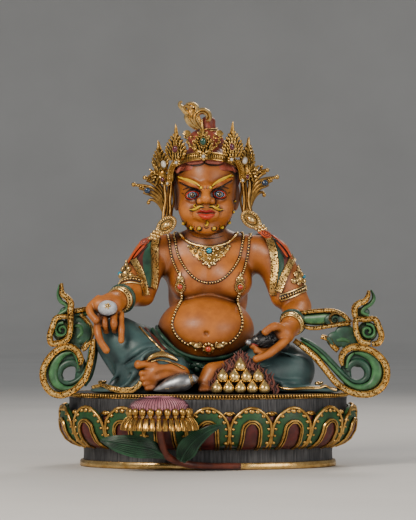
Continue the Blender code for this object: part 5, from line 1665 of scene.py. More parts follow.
def around(tree, centre, axis, reach, count=48, lift=0.0, start=0.0, sweep=360.0):
    """A line round a limb, on its surface, in the plane across an axis, with its outward normals."""
    axis = Vector(axis).normalized()
    u = axis.orthogonal().normalized()
    v = axis.cross(u)
    points, normals = [], []
    full = sweep >= 360
    for a in np.radians(start + np.linspace(0, sweep, count + (1 if full else 0))[: count]):
        way = u * math.cos(a) + v * math.sin(a)
        hit, _, _, _ = tree.ray_cast(Vector(centre) + way * reach, -way, reach)
        if hit is None:
            hit = Vector(centre) + way * reach * 0.6
        points.append(np.array(hit) + np.array(way) * lift)
        normals.append(np.array(way))
    return np.array(points), np.array(normals)


def necklaces(settings):
    torso = surface("torso")
    gold, ground, coral, blue = Heap(), Heap(), Heap(), Heap()
    torque = Heap()
    front_arc, _ = lay_path(
        torso,
        [(-21, 202.6), (-16.5, 199.8), (-9, 197.2), (0.5, 196.0), (10, 197.2), (17.5, 199.8),
         (22.5, 203.0)], 2.0, 1.6, soften=6)
    sides = [(25.6, -5, 207.6), (26.0, 4, 208.6), (19, 15, 207), (0.5, 20, 206), (-18, 15, 207),
             (-25, 4, 208.2), (-24.4, -5, 207.2)]
    ring = curve([*front_arc[::3], *sides, front_arc[0]], 4)[:-1]
    torque.strand(ring, 2.6, 2.6, face=unit(ring * (1, 1, 0) - (0.5, 4, 0)), closed=True, sides=10)
    path, normals = lay_path(torso, [(-15.5, 194.4), (-7, 189.6), (1, 187.6), (9, 189.6), (17, 194.6)], 1.6)
    cling(ground, torso, path, normals,
          np.interp(np.linspace(0, 1, len(path)), (0, 0.3, 0.5, 0.7, 1), (4.5, 9, 14.5, 9, 4.5)), 0.9, 7,
          "cloth")
    heap_piece("torque", torque, finish("bead_gold"), slot="antique_gilding")
    for x, z, r, start, spin in ((-14.6, 195, 2.2, 90, 1), (16.4, 195, 2.2, 90, -1),
                                 (-10.6, 191.4, 2.4, 60, 1), (12.4, 191.4, 2.4, 120, -1),
                                 (-6.4, 188.6, 2.3, 60, 1), (8.4, 188.6, 2.3, 120, -1),
                                 (-4.4, 184.4, 2.1, 40, 1), (6.4, 184.4, 2.1, 140, -1),
                                 (-9.6, 195.6, 1.7, 200, -1), (11.4, 195.6, 1.7, -20, 1),
                                 (-5.6, 193.6, 1.7, 200, -1), (7.6, 193.6, 1.7, -20, 1),
                                 (-1.4, 181.4, 1.9, 60, 1), (3.6, 181.4, 1.9, 120, -1),
                                 (1.0, 185.6, 1.7, 0, 1)):
        laid_curl(gold, torso, x, z, r, start, 1.3, spin, 1.3, 1.4)
    for x, z in ((-17.6, 196.6), (19.4, 196.6), (-12.4, 188.2), (14.2, 188.2), (-8.2, 184.8), (10, 184.8),
                 (-4.2, 180.6), (6.2, 180.6)):
        dot(gold, torso, x, z, (1.2, 1.0, 1.4), lift=0.6)
    dot(gold, torso, 1.0, 178.6, (1.6, 1.3, 2.2), lift=0.8)
    for k in range(10):
        a = 2 * math.pi * k / 10
        dot(gold, torso, 1.0 + 4.0 * math.cos(a), 192.3 + 4.0 * math.sin(a), (1.3, 0.9, 1.3), lift=1.5,
            sides=8)
    dot(blue, torso, 1.0, 192.3, (2.5, 1.7, 2.5), lift=2.2, sides=16, rings=10)
    strings = [[(-29.6, 203), (-27, 190), (-20, 176.5), (-10.5, 167), (0, 164), (10.5, 165.8), (20, 173.4),
                (27.6, 185), (30.4, 196), (31.6, 203)],
               [(-34.5, 202), (-34.4, 197), (-33, 189), (-29.6, 179), (-25.6, 171.5)],
               [(37.0, 204), (36.8, 197), (35, 186), (32, 175), (30, 170.5)],
               [(-23.6, 155), (-23.0, 150.5), (-24, 147), (-28, 139), (-31, 131), (-31.4, 125),
                (-28.4, 118), (-23, 112.6), (-17.5, 109.2)],
               [(28, 154.5), (26.4, 150), (26.6, 145), (29.2, 136), (30.4, 129), (29, 121.6), (24.6, 115),
                (19.4, 110.6)],]
    size = settings.bead / MM
    backs = (([(0, 34, 202), (-12, 32, 204), (-24, 24, 208), (-30, 12, 212), (-31, 0, 209)],
              [(32.5, 1, 208), (31, 12, 211.5), (26, 24, 208), (13, 32, 204), (0, 34, 202)]),
             ([(0, 38, 196), (-14, 36, 199), (-28, 28, 204), (-36, 13, 210), (-36, 0, 207)], []),
             ([(0, 38, 196), (14, 36, 199), (29, 28, 203), (38.5, 13, 209), (38.2, 2, 207)], []), ([], []),
             ([], []))
    rows, shade_under_beads = [], Heap()
    for (before, after), line in zip(backs, strings):
        path, normals = over(torso, before, line, after, 1.0, size * 0.4)
        rows.append((path, False))
        # A dark strip under each bead row: painted shade between and beside the beads.
        shade_under_beads.strand(path - normals * 0.5, 2.3, 1.0, face=normals, sides=6)
    beads("necklace_beads", rows[:3], size, size * 1.3, "bead_gold", slot="antique_gilding")
    beads("belly_beads", rows[3:], size * 1.3, size * 1.55, "bead_gold", slot="antique_gilding")
    heap_piece("necklace_thread", shade_under_beads, finish("line"), slot="antique_gilding")
    for x, z in ((-24.6, 160.6), (28.4, 160.4)):
        for k in range(16):
            a = 2 * math.pi * k / 16
            dot(gold, torso, x + 4.0 * math.cos(a), z + 4.6 * math.sin(a), (0.9, 0.9, 0.9), lift=0.8,
                sides=6, rings=5)
        dot(ground, torso, x, z, (4.0, 1.6, 4.6), lift=0.2, sides=18, rings=8)
        ring = [(x + 2.9 * math.cos(a), z + 2.9 * math.sin(a)) for a in np.linspace(0, 2 * math.pi, 18)]
        hits = [front(torso, *p) for p in ring[:-1]]
        gold.strand([h + n * 1.4 for h, n in hits], 0.9, 1.2, closed=True, sides=6)
        dot(coral, torso, x, z, (2.4, 1.7, 2.4), lift=1.8, sides=16, rings=10)
        dot(gold, torso, x, z + 7.4, (3.4, 1.5, 2.4), lift=0.8, sides=14)
        laid_strand(gold, torso, [(x, z + 6), (x, z + 10), (x + 0.4, z + 13)], (3.4, 2.6, 1.0), 2.0, 0.9)
        for side in (-1, 1):
            laid_curl(gold, torso, x + side * 2.3, z + 6.0, 1.7, 90, 1.3, side, 1.0, 1.3)
        laid_strand(gold, torso, [(x, z - 5), (x + 0.2, z - 8), (x + 0.6, z - 11)], (2.2, 1.4, 0.8), 1.6, 0.6)
    dot(ground, torso, 0.2, 106.0, (5.0, 1.8, 5.0), lift=0.2, sides=18, rings=8)
    for k in range(9):
        a = 2 * math.pi * k / 9
        dot(gold, torso, 0.2 + 4.1 * math.cos(a), 106.0 + 4.1 * math.sin(a), (1.5, 1.2, 1.5), lift=1.0,
            sides=8)
    dot(coral, torso, 0.2, 106.0, (2.6, 1.8, 2.6), lift=2.0, sides=16, rings=10)
    for side in (-1, 1):
        dot(gold, torso, 0.2 + side * 9.6, 108.0, (4.6, 1.8, 3.0), lift=0.4, sides=16)
        dot(gold, torso, 0.2 + side * 14.6, 110.0, (2.8, 1.4, 1.8), lift=0.5, sides=12)
        for dx, dz, r in ((7.6, 109.6, 1.9), (11.2, 106.4, 1.8), (13.2, 110.2, 1.5)):
            laid_curl(gold, torso, 0.2 + side * dx, dz, r, 90, 1.3, side, 1.0, 1.6)
    heap_piece("breast_jewels", gold, finish("bright_gold"), slot="antique_gilding")
    heap_piece("breast_jewel_grounds", ground, finish("old_gold"), slot="antique_gilding")
    heap_piece("coral_stones", coral, finish("coral_stone"), slot="antique_gilding")
    arm_jewels(blue)
    heap_piece("turquoises", blue, finish("turquoise"), slot="antique_gilding")


def arm_jewels(blue):
    torso = surface("torso")
    gold, ground, cuff, band, shade_under_beads = (Heap() for _ in range(5))
    rows = []
    armlets = (([(-70, 14, 160), (-80, 6, 158)],
                [(-79.4, 162.4), (-76, 164.8), (-71, 166.4), (-65, 166.4), (-59.6, 165.2)], []),
               ([], [(64.6, 150.4), (71, 152.4), (79, 155.4), (87.6, 159.4)],
                [(93, 8, 162), (86, 18, 163)]),)
    for before, line, after in armlets:
        for rise in (-2.6, 2.6):
            side, out = over(torso, [(x, y, z + rise) for x, y, z in before],
                             [(x, z + rise) for x, z in line], [(x, y, z + rise) for x, y, z in after],
                             1.2, 0.5)
            gold.strand(side, 1.6, 1.7, face=out, sides=6)
        path, out = over(torso, before, line, after, 1.2, 1.1)
        rows.append((path, False))
        # A dark strip under the armlet's bead row: painted shade between and beside the beads.
        shade_under_beads.strand(path - out * 0.7, 3.4, 1.0, face=out, sides=6)
    bracelets = (((-78.5, -42, 149), (-0.42, -0.88, -0.18), 17),
                 ((75.4, -27, 126.5), (-0.34, -0.88, -0.36), 15))
    for centre, axis, reach in bracelets:
        along = np.array(Vector(axis).normalized())
        path, normals = around(torso, np.array(centre) + along * 2.2, axis, reach, 56, 0.9)
        rows.append((path, True))
        # A dark strip under the bracelet's bead row: painted shade between and beside the beads.
        shade_under_beads.strand(path - normals * 0.6, 2.2, 1.2, face=normals, closed=True, sides=6)
        for shift, wide in ((-1.0, 3.6), (4.2, 1.4)):
            side, out = around(torso, np.array(centre) + along * shift, axis, reach, 56, 0.6)
            band.strand(side, wide, 2.2, face=out, closed=True, sides=10)
        back, out = around(torso, np.array(centre) - along * 5.4, axis, reach, 56, 0.3)
        cuff.strand(back, 5.4, 2.6, face=out, closed=True, sides=10)
        back, out = around(torso, np.array(centre) - along * 4.2, axis, reach, 56, 1.4)
        cuff.strand(back, 1.4, 1.6, face=out, closed=True, sides=8)
    beads("arm_beads", rows, 2.1, 2.6, "bead_gold", slot="antique_gilding")
    for side, stone in ((-1, (-79.5, 171.6)), (1, (86.2, 169.2))):
        x0, z0 = (-73.0, 171.5) if side < 0 else (81, 167)
        for dx, dz, r in ((0, 0, 3.2), (-4.6, -1.6, 2.4), (4.6, -1.6, 2.4), (-2.6, 4.4, 2.3),
                          (2.6, 4.4, 2.3), (0, 8, 2.0), (0, -3.6, 1.8)):
            laid_curl(gold, torso, x0 + dx, z0 + dz, r, 90, 1.4, 1 if dx > 0 else -1, 1.3, 1.0)
            dot(ground, torso, x0 + dx, z0 + dz, (r * 1.15, 1.2, r * 1.15), lift=0.1)
        dot(gold, torso, x0, z0 + 10.5, (1.2, 1.2, 2.4), lift=0.6)
        dot(blue, torso, *stone, (2.2, 2.2, 2.2), lift=1.4, sides=14, rings=8)
    heap_piece("arm_gilding", gold, finish("bright_gold"), slot="antique_gilding")
    heap_piece("arm_bands", band, finish("bead_gold"), slot="antique_gilding")
    heap_piece("arm_threads", shade_under_beads, finish("line"), slot="antique_gilding")
    heap_piece("arm_gilding_grounds", ground, finish("plain_gold"), slot="antique_gilding")
    heap_piece("cuffs", cuff, finish("dark_green"), slot="scarf_paint")


def shoulder_cloth():
    """The short cape's brocade edges, green and red strips, and the vermilion ribbons at the shoulders."""
    torso = surface("torso")
    gold, green, red, orange = Heap(), Heap(), Heap(), Heap()

    def strip(heap, points, width, thick, section="cloth", lift=0.0):
        path, normals = lay_path(torso, points, 1.6, lift, soften=6)
        cling(heap, torso, path, normals,
              np.interp(np.linspace(0, 1, len(path)), np.linspace(0, 1, np.size(width)),
                        np.atleast_1d(width)), thick, 7, section)

    strip(gold, [(-46.6, 205), (-48.2, 196), (-48.2, 184), (-48.0, 170), (-49.4, 159)], 6.6, 2.2, "band")
    strip(gold, [(-66.4, 184), (-61.5, 174), (-57.6, 162), (-56.0, 153)], 6.2, 2.2, "band")
    strip(gold, [(52, 207), (56.6, 198), (59.4, 186), (60.0, 174), (59.0, 160), (59.0, 153)], 6.6, 2.2,
          "band")
    strip(gold, [(76, 187), (71.6, 178), (67, 167), (63.4, 156)], 6.2, 2.2, "band")
    strip(green, [(-51.6, 200), (-54.6, 188), (-54.4, 174), (-52.4, 160)], (5, 8, 8, 5), 1.2)
    strip(red, [(-55.6, 197), (-60.6, 188), (-60.2, 178), (-57.0, 168)], (4, 7, 7, 4), 0.9)
    strip(green, [(58, 202), (63.6, 190), (64.6, 176), (61.4, 160)], (5, 8, 8, 5), 1.2)
    strip(red, [(62, 199), (69.0, 188), (69.4, 177), (65.4, 166)], (4, 7, 7, 4), 0.9)
    dark = Heap()
    for points in ([(-45.5, 206), (-52, 203.6), (-60, 197.4), (-66.4, 189), (-70.4, 181)],
                   [(-55, 198.4), (-61.4, 191.6), (-66.2, 184.6)],
                   [(50.5, 209), (57, 206), (65, 199.6), (71, 192), (74.6, 184.6)],
                   [(61, 199.4), (66.6, 193), (70.6, 186.4)]):
        laid_strand(orange, torso, points, 2.4, 2.0, 1.2)
        laid_strand(dark, torso, [(x + (1.6 if x < 0 else -1.6), z - 1.4) for x, z in points], 1.4, 1.4, 0.8)
    for x, z, tilt in ((-56.6, 200.0, -28), (57.6, 207.4, 24)):
        hit, normal = front(torso, x, z)
        turn = Matrix.Rotation(math.radians(tilt), 4, "Y") @ Matrix.Rotation(math.radians(-24), 4, "X")
        m = Matrix.Translation(hit + normal * 1.2) @ turn
        knot, groove = Heap(), Heap()
        knot.ball((0, 0, 0), (5.4, 2.0, 3.5), sides=20, rings=10)
        for size in (0.72, 0.36):
            groove.strand(
                [(5.2 * size * math.cos(a), -2.0 * math.sqrt(1 - size * size) - 0.1,
                  3.4 * size * math.sin(a)) for a in np.linspace(0, 2 * math.pi, 21)[:-1]], 0.6, 0.6,
                closed=True, sides=6)
        orange.placed(knot, m)
        dark.placed(groove, m)
    heap_piece("ribbon_lines", dark, finish("line"), slot="scarf_paint")
    heap_piece("cape_brocade", gold, finish("brocade"), slot="antique_gilding")
    heap_piece("cape_green", green, finish("dark_green"), slot="scarf_paint")
    heap_piece("cape_red", red, finish("maroon"), slot="scarf_paint")
    heap_piece("shoulder_ribbons", orange, finish("orange"), slot="scarf_paint")


# Scarf scrolls


def flat_rows(rows, y):
    """Points with their widths from (x, z, width) rows, smoothed, in the plane y."""
    path = curve(rows, 6)
    return np.column_stack([path[:, 0], np.full(len(path), y), path[:, 1]]), path[:, 2]


def spiral_rows(x, z, radius, turns, start, spin, width):
    t = np.linspace(0, 1, 14)
    r = radius * (1 - 0.8 * t)
    a = math.radians(start) + spin * 2 * math.pi * turns * t
    return [(x + q * math.cos(b), z + q * math.sin(b), width * (1 - 0.35 * s)) for q, b, s in zip(r, a, t)]


SCROLLS = {
    "scarf_scroll_right": (
        ("brocade", -41.5,
         [(-101.5, 114, 4.4), (-102.5, 103, 5.2), (-105, 90, 5.8), (-109, 79, 6), (-116, 71, 6),
          (-124, 66, 6), (-131, 64.4, 6), (-138, 66.4, 6), (-143.5, 72.4, 6), (-146, 80, 6),
          (-145.5, 88, 6), (-141.5, 96, 6), (-135, 103, 6), (-127.5, 106.8, 6), (-120, 106.5, 6),
          (-115.2, 102, 5.8), (-112.6, 96.5, 5.2), (-113.0, 91, 3)]),
        ("scarf", -39.5,
         [(-120.5, 102.4, 3), (-128.5, 100.4, 6.4), (-135, 93.6, 9), (-137.4, 84, 9.6),
          (-135.4, 75.6, 8.6), (-129, 70.6, 6.6), (-121.5, 70, 5), (-115.2, 73.8, 4.2),
          (-110.6, 80.5, 3.6), (-107.6, 88, 3.2), (-105.6, 97, 2.8), (-104.4, 107, 2.2)]),
        ("dark_green", -38.0,
         [(-114.4, 85.4, 4.5), (-115.8, 90.6, 6), (-119.4, 93, 7), (-125, 92.4, 7.2), (-130, 88.6, 6.8),
          (-131.8, 82.5, 6.2), (-130, 77.2, 5.4), (-125, 74.8, 4.8), (-119, 75.8, 4.6), (-113, 80, 4.4),
          (-108.6, 87, 4), (-106, 95, 3.5), (-104.6, 105, 2.6)]),
        ("scarf", -39.0, [(-121.6, 103.6, 2), (-117.4, 99.6, 3.4), (-115.4, 94, 3.4), (-114.6, 88, 2.4)]),
        ("dark_green", -35.0,
         [(-98, 116, 4), (-99.8, 106, 5), (-101.4, 94, 5), (-105, 81, 5), (-110, 73, 4.4)]),
        ("brocade", -41.0,
         [(-121, 133.4, 3.6), (-128, 134, 4.4), (-134.6, 132.4, 5), (-137.6, 125, 5.4), (-140, 117, 5.4),
          (-138.6, 110.4, 5.6), (-132.4, 110.6, 5.6), (-126, 112.6, 5.6), (-122.6, 118, 5.4),
          (-121.6, 128, 5.4), (-121.8, 138, 5.6), (-121.4, 146, 5.6), (-125.4, 151, 5.2),
          (-129, 154.4, 4.6), (-129.6, 163.6, 2.4)]),
        ("scarf", -38.5, spiral_rows(-129.4, 121.8, 7.0, 1.45, 80, 1, 4.2)),
        ("scarf", -37.5,
         [(-131.6, 162.6, 1.4), (-132.6, 154, 3.6), (-130.6, 148, 4.6), (-125.6, 144.4, 4.6),
          (-125, 140, 5), (-130, 136.6, 4.6), (-133, 134.6, 3)]),
        ("brocade", -36.0,
         [(-113, 136, 3.4), (-106.6, 129, 4), (-102.8, 121.4, 4), (-105, 113.4, 5), (-109.4, 106.6, 5.6),
          (-112, 104.4, 4)]),
        ("dark_green", -34.5,
         [(-119.4, 131, 6), (-112, 130, 7), (-107.4, 122, 7), (-110, 114, 7), (-116.6, 110, 6)]),
        ("scarf", -35.5, [(-118.4, 126, 4), (-113.4, 124.6, 5), (-112, 119.6, 5), (-116, 115, 4)]),
        ("brocade", -36.0, [(-121, 138.6, 4.6), (-114, 139.6, 4.4), (-106, 141, 4), (-99, 140, 3.4)]),
        ("scarf", -34.0, [(-121, 135.4, 5), (-113, 136, 5.4), (-105, 137.6, 5), (-98, 137, 4)]),),
    "scarf_scroll_left": (
        ("brocade", -41.5,
         [(77, 112.4, 4.8), (85, 106.4, 5.4), (93, 99.8, 5.8), (100, 92.2, 6), (107, 83.4, 6),
          (113, 76, 6), (120, 70.6, 6), (127, 67, 6.2), (135, 65.2, 6.2), (144, 65.7, 6.4),
          (151.8, 69.7, 6.4), (156.6, 76, 6.4), (158.2, 84, 6.4), (156.7, 92, 6.4), (151.3, 99, 6.4),
          (144, 104, 6.4), (136, 106.4, 6.4), (128, 106.8, 6.4), (121.4, 103.6, 6), (118, 97.6, 5.4),
          (119, 90.6, 3)]),
        ("scarf", -39.5,
         [(130, 102, 3), (137, 101.6, 6.6), (144.4, 98.4, 9.6), (149.4, 91.6, 11), (150, 82.6, 11),
          (146, 74.8, 9.4), (139, 71.2, 7.6), (131, 71.4, 6), (124.6, 74.4, 5), (117.4, 81, 4.4),
          (109.6, 89.6, 4.2), (101, 98.6, 4), (92.4, 106, 3.6), (83.6, 111.6, 3)]),
        ("dark_green", -38.0,
         [(123.6, 86, 5), (126.4, 91.4, 6.4), (131.4, 93.6, 7.4), (137.4, 92, 7.6), (141.4, 86.8, 7.2),
          (141, 80.4, 6.4), (136.4, 76.4, 5.4), (130, 76.2, 4.8), (124, 79.4, 4.6), (117, 85.8, 4.6),
          (109, 94.6, 4.6), (100.4, 103.4, 4.4), (91.6, 110, 4), (83, 114.6, 3)]),
        ("scarf", -38.6, [(131.6, 103.4, 2.4), (126.4, 100, 4), (123.4, 94.6, 4.4), (122.8, 88.4, 4)]),
        ("brocade", -41.0,
         [(144, 110.6, 5), (136.4, 111.4, 5.2), (132, 118, 5.2), (130.6, 127, 5.2), (131.6, 131, 5),
          (139, 131.4, 4.8), (147.4, 131.6, 5.2), (151, 125.6, 5.4), (153.6, 117, 5.4), (151, 110.8, 5.6),
          (145, 109.6, 4.6)]),
        ("brocade", -40.4,
         [(131.4, 131.4, 4.4), (129.8, 137, 5.4), (130.4, 142.6, 5.8), (134.4, 146, 5.6),
          (138.8, 147.6, 5.2), (141.4, 151.4, 4.4), (142.6, 157, 2.6)]),
        ("scarf", -38.5, spiral_rows(141.6, 120.6, 7.4, 1.45, 100, -1, 4.2)),
        ("scarf", -37.5,
         [(144.6, 157.6, 1.4), (147, 150.6, 3.6), (144.4, 145.4, 4.4), (138.6, 141.8, 4.6),
          (137, 137.6, 4.4), (142, 134, 4)]),
        ("brocade", -35.0,
         [(66, 134.6, 3), (80, 136.8, 3.4), (95, 138.8, 3.6), (110, 139.2, 3.6), (120, 135.4, 3.8),
          (126.6, 128.6, 4)]),
        ("brocade", -36.0,
         [(77, 131, 2.6), (87, 124.6, 3.4), (96, 123.6, 3.6), (106, 125.2, 3.8), (118, 127.2, 3.8),
          (126.6, 128, 3.6)]),
        ("scarf", -33.6,
         [(70, 131.6, 5), (82, 131.6, 8), (95, 131.4, 11), (108, 132.2, 11), (119, 131.4, 7),
          (126, 128.4, 4)]), ("brocade", -37.4, spiral_rows(112.6, 131.2, 6.6, 0.9, 40, 1, 2.6)),
        ("dark_green", -36.6, spiral_rows(112.6, 130.8, 3.4, 1.0, 40, 1, 4.0)),
        ("dark_green", -34.0, [(110, 116, 6), (117, 118, 9), (124, 117, 10), (130.6, 112.6, 6)]),
        ("scarf", -35.6, [(114, 112.6, 4), (119.6, 113.6, 5), (125.6, 111.6, 4)]),
        ("brocade", -36.0, [(101, 116, 4), (107.6, 113.4, 4.6), (110.6, 108, 4.8), (115.4, 103.6, 4.8)]),),}


SCROLL_BACKS = {
    "scarf_scroll_right": (
        [(-113, 84, 9), (-113.5, 93, 10), (-122, 97.5, 14), (-132, 94, 15), (-136.5, 83.5, 15),
         (-131.5, 73.5, 13), (-122.5, 71.5, 11.5), (-114.5, 76, 10)],
        ((-130.4, 121.6, 8.0, 10.0), (-112, 119.5, 9.0, 11.0), (-127, 137, 5.0, 5.5), (-118, 107, 6, 5),
         (-121, 131, 6, 6), (-118, 113, 7, 6))),
    "scarf_scroll_left": (
        [(122.4, 84, 9), (123.6, 93, 10), (131.5, 96.5, 15), (141.5, 95.5, 16), (148.5, 87.5, 16),
         (147, 77.5, 15), (139, 72.2, 13), (130, 72.2, 11), (124, 77, 9)],
        ((141.6, 120.6, 9.0, 9.5), (121.5, 119, 9.0, 8.0), (137.5, 137.5, 6.0, 5.0), (112, 131, 9, 6),
         (114, 113.5, 9, 7.5), (125, 112, 9, 7.5))),}


def scarf_scrolls():
    for node, strands in SCROLLS.items():
        heaps = {key: Heap() for key in ("brocade", "scarf", "dark_green")}
        loop, discs = SCROLL_BACKS[node]
        path, widths = flat_rows(loop + loop[:1], -36.4)
        heaps["dark_green"].strand(path[:-1], widths[:-1], 5.0, closed=True, sides=12)
        for x, z, wide, tall in discs:
            heaps["dark_green"].ball((x, -36.0 + max(0, 112 - abs(x)) * 0.3, z), (wide, 2.2, tall),
                                     sides=24, rings=10)
        for key, y, rows in strands:
            path, widths = flat_rows(rows, y)
            inward = np.maximum(0, 112 - np.abs(path[:, 0])) * 0.3
            path[:, 1] += inward
            depth = 6.6 if key == "brocade" else 7.0
            heaps[key].strand(path, widths, depth, section="band" if key == "brocade" else "round", sides=12)
        slots = {"brocade": "antique_gilding", "scarf": "scarf_paint", "dark_green": "scarf_paint"}
        for key, heap in heaps.items():
            nodes = (node,) if key == "brocade" else ()
            heap_piece(f"{node}_{key}", heap, finish(key), *nodes, slot=slots[key])


# What the hands hold and what stands on the plate


def mongoose_piece():
    clay = Clay((26, -74, 92), (82, -22, 130), 0.6)
    clay.limb((66, -36, 109, 6.6), (56, -45, 113.6, 7.6), (48, -51, 113.6, 7.2), (42.4, -55, 112.6, 5.2),
              (38.6, -57, 111.4, 3.4), melt=3)
    clay.limb((50, -48, 108, 4), (45, -48, 99, 3.6), melt=3)
    clay.ball((46.6, -50.6, 119.6), (1.6, 1.4, 2.4), (0, -20, 0), melt=1.2)
    clay.ball((50, -54.6, 119.0), (1.5, 1.4, 2.2), (0, 10, 0), melt=1.2)
    clay.fold([(36, -60.6, 111.2), (40, -60, 110.6), (44, -58.6, 109.6)], 1.1, melt=1.2, carve=True)
    for k in range(7):
        x = 48 + 2.4 * k
        clay.fold([(x, -58 + k * 1.5, 119 - 0.3 * k), (x + 2.4, -59 + k * 1.5, 113),
                   (x + 3.6, -56 + k * 1.5, 108)], 0.7, melt=1.6, carve=True)
    clay_piece("mongoose_body", clay, "fur", "mongoose", slot="fur_paint")
    jewel, eye, mouth = Heap(), Heap(), Heap()
    jewel.ball((35.6, -59.4, 111.4), 3.0, sides=18, rings=12)
    tree = surface("mongoose_body")
    dot(eye, tree, 42.6, 114.6, (1.0, 1.0, 1.0), lift=0.2)
    laid_strand(mouth, tree, [(37.4, 110.2), (40.6, 109.6), (44, 108.8)], 1.3, 1.0, 0.2)
    tufts, rng = Heap(), np.random.default_rng(7)
    for _ in range(70):
        x, z = rng.uniform(41, 66), rng.uniform(103, 121)
        hit, _, _, _ = tree.ray_cast(Vector((x, -160, z)), Vector((0, 1, 0)))
        if hit is not None and z > 104 + (x - 41) * 0.1:
            laid_strand(tufts, tree, [(x, z), (x + 1.6, z + 0.5), (x + 3.0, z + 1.4)], (1.6, 1.1, 0.5),
                        1.2, 0.3, sides=5)
    heap_piece("mongoose_fur", tufts, finish("fur"), slot="fur_paint")
    heap_piece("mongoose_jewel", jewel, finish("silver"), slot="silvered_shell")
    heap_piece("mongoose_eye", eye, finish("pearl"), slot="fur_paint")
    heap_piece("mongoose_mouth", mouth, finish("lips"), slot="fur_paint")
    fruit = Heap()
    fruit.ball((-88.2, -64, 141.6), (8.6, 6.6, 6.9), sides=32, rings=18)
    heap_piece("citron", fruit, finish("citron"), slot="silvered_shell")
    blossom = Heap()
    blossom.ball((-88, -70.6, 143.4), (1.3, 1.2, 1.3), sides=12, rings=8)
    for k in range(5):
        a = math.radians(72 * k)
        blossom.ball((-88 + 2.0 * math.cos(a), -70.2, 143.4 + 2.0 * math.sin(a)), (1.0, 0.8, 1.0), sides=8,
                     rings=6)
    heap_piece("citron_blossom", blossom, finish("bead_gold"), slot="antique_gilding")


def conch_piece():
    """The silvered conch on its side: a long spindle with a groove that winds round it, and a gilt mouth."""
    low, high = (np.array(c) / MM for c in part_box("conch"))
    centre = (low + high) / 2
    rows = []
    profile = ((-20.9, 0.3), (-18.5, 1.9), (-14, 4.2), (-9, 6.3), (-3, 7.7), (2, 8.2), (7, 8.1), (10, 7.4),
               (12.6, 6.2), (14.2, 5.0), (15.2, 4.2), (17.4, 4.2), (18.4, 3.2), (20.6, 0.4))
    stations = curve(profile, 3)
    for along, radius in stations:
        ring = []
        for k in range(40):
            a = 2 * math.pi * k / 40
            groove = 0.16 * max(0, math.cos(a * 2 + along * 0.55)) * min(1.0, radius / 4)
            ring.append(((radius - groove) * math.cos(a), (radius - groove) * math.sin(a) * 0.97, along))
        rows.append(ring)
    turn = np.array(Matrix.Rotation(math.radians(74), 3, "Y"))
    rows = np.array(rows) @ turn.T
    rows = rows + np.array((centre[0], centre[1], PLATE + 0.4 - rows[..., 2].min()))
    shell, ring = Heap(), Heap()
    shell.grid(rows, closed_v=True, cap=True)
    heap_piece("conch_shell", shell, finish("silver"), "conch", slot="silvered_shell")
    at = int(np.argmin(np.abs(stations[:, 0] - 13.4)))
    for step in (0, 4):
        loop = rows[at + step]
        middle = loop.mean(0)
        ring.strand(loop + unit(loop - middle) * 0.2, 1.1, 1.1, face=unit(loop - middle), closed=True,
                    sides=6)
    heap_piece("conch_rings", ring, finish("plain_gold"), slot="antique_gilding")


def jewel_spots():
    spots = []
    for row, count in enumerate((5, 4, 1)):
        for index in range(count):
            spots.append(
                (28.5 + (index - (count - 1) / 2) * 10.4, -63.8 + 2 * row,
                 PLATE + 0.3 + 12 * (0.44 + 0.82 * row)))
    return spots


def jewels_and_flames():
    heap = Heap()
    profile = [(0.2, -5.5), (2.6, -5.1), (4.5, -3.6), (5.2, -1.2), (5.05, 0.8), (4.2, 2.6), (2.9, 4.2),
               (1.6, 5.5), (0.8, 6.5), (0.15, 7.3)]
    smooth = curve([(max(r, 0.05), h) for r, h in profile], 2)
    for spot in jewel_spots():
        heap.turned([tuple(p) for p in smooth], spot, sides=22)
    heap_piece("jewels", heap, finish("jewel"), "jewel_pile", slot="jewel_gilding")
    flames, edges = Heap(), Heap()
    tongues = ((28.6, 94, 106, 0), (22.6, 88, 99, -1), (35, 88, 99.4, 1), (15.6, 82, 95, -1),
               (42.6, 82, 95.6, 1), (9.6, 76, 88, -1), (48.6, 78, 89.4, 1), (3.4, 68, 80, -1),
               (54.6, 72, 86, 1), (58.4, 67.4, 76, 1), (1.6, 66.4, 72.6, -1), (18.8, 90, 98, 1),
               (38.8, 90, 98, -1), (26, 96, 103, -1), (31.6, 96, 103, 1), (12.4, 80, 91, 1),
               (45.6, 80, 91.4, -1), (52, 72, 82, -1), (6, 70, 82, 1))
    for x, low, high, side in tongues:
        rise = high - low
        for shift, thick, y in ((0, 3.4, -57.6), (side * 2.0 or 1.6, 2.4, -58.8),
                                (-(side * 2.0) or -1.6, 2.4, -58.8)):
            path = curve(
                [(x + shift * 0.4, y, low - 3), (x + shift + side * 1.4, y, low + rise * 0.25),
                 (x + shift * 1.3 - side * 0.6, y, low + rise * 0.6),
                 (x + shift * 0.9 + side * 1.8, y, low + rise * (1 if shift == 0 else 0.86))], 4)
            widths = np.interp(np.linspace(0, 1, len(path)), (0, 0.3, 0.7, 1),
                               (thick, thick, thick * 0.7, 0.5))
            (flames if shift == 0 else edges).strand(path, widths, widths * 0.9 + 0.3, sides=6)
        flat_curl(flames, x + side * 2.2, low + rise * 0.3, 2.0, -59.2, 90, 1.2, side or 1, 1.2, bead=False)
    for x, high in ((8, 78), (18, 88), (28.5, 96), (39, 88), (49, 78)):
        flames.ball((x, -56.6, (high + PLATE) / 2), (7, 1.8, (high - PLATE) / 2), sides=14, rings=10)
    heap_piece("flames", flames, finish("flame"), slot="throne_paint")
    heap_piece("flame_tips", edges, finish("flame_edge"), slot="throne_paint")


# The foot lotus


def ellipse_spots(cx, cy, a, b, count, offset=0.0):
    fine = np.linspace(0, 2 * math.pi, 1441)
    ring = np.column_stack([cx + a * np.cos(fine), cy + b * np.sin(fine)])
    run = np.concatenate([[0], np.cumsum(np.linalg.norm(np.diff(ring, axis=0), axis=1))])
    t = np.interp((np.arange(count) + offset) / count * run[-1], run, fine)
    points = np.column_stack([cx + a * np.cos(t), cy + b * np.sin(t), 0 * t])
    normals = unit(np.column_stack([np.cos(t) / a, np.sin(t) / b, 0 * t]))
    return points, normals


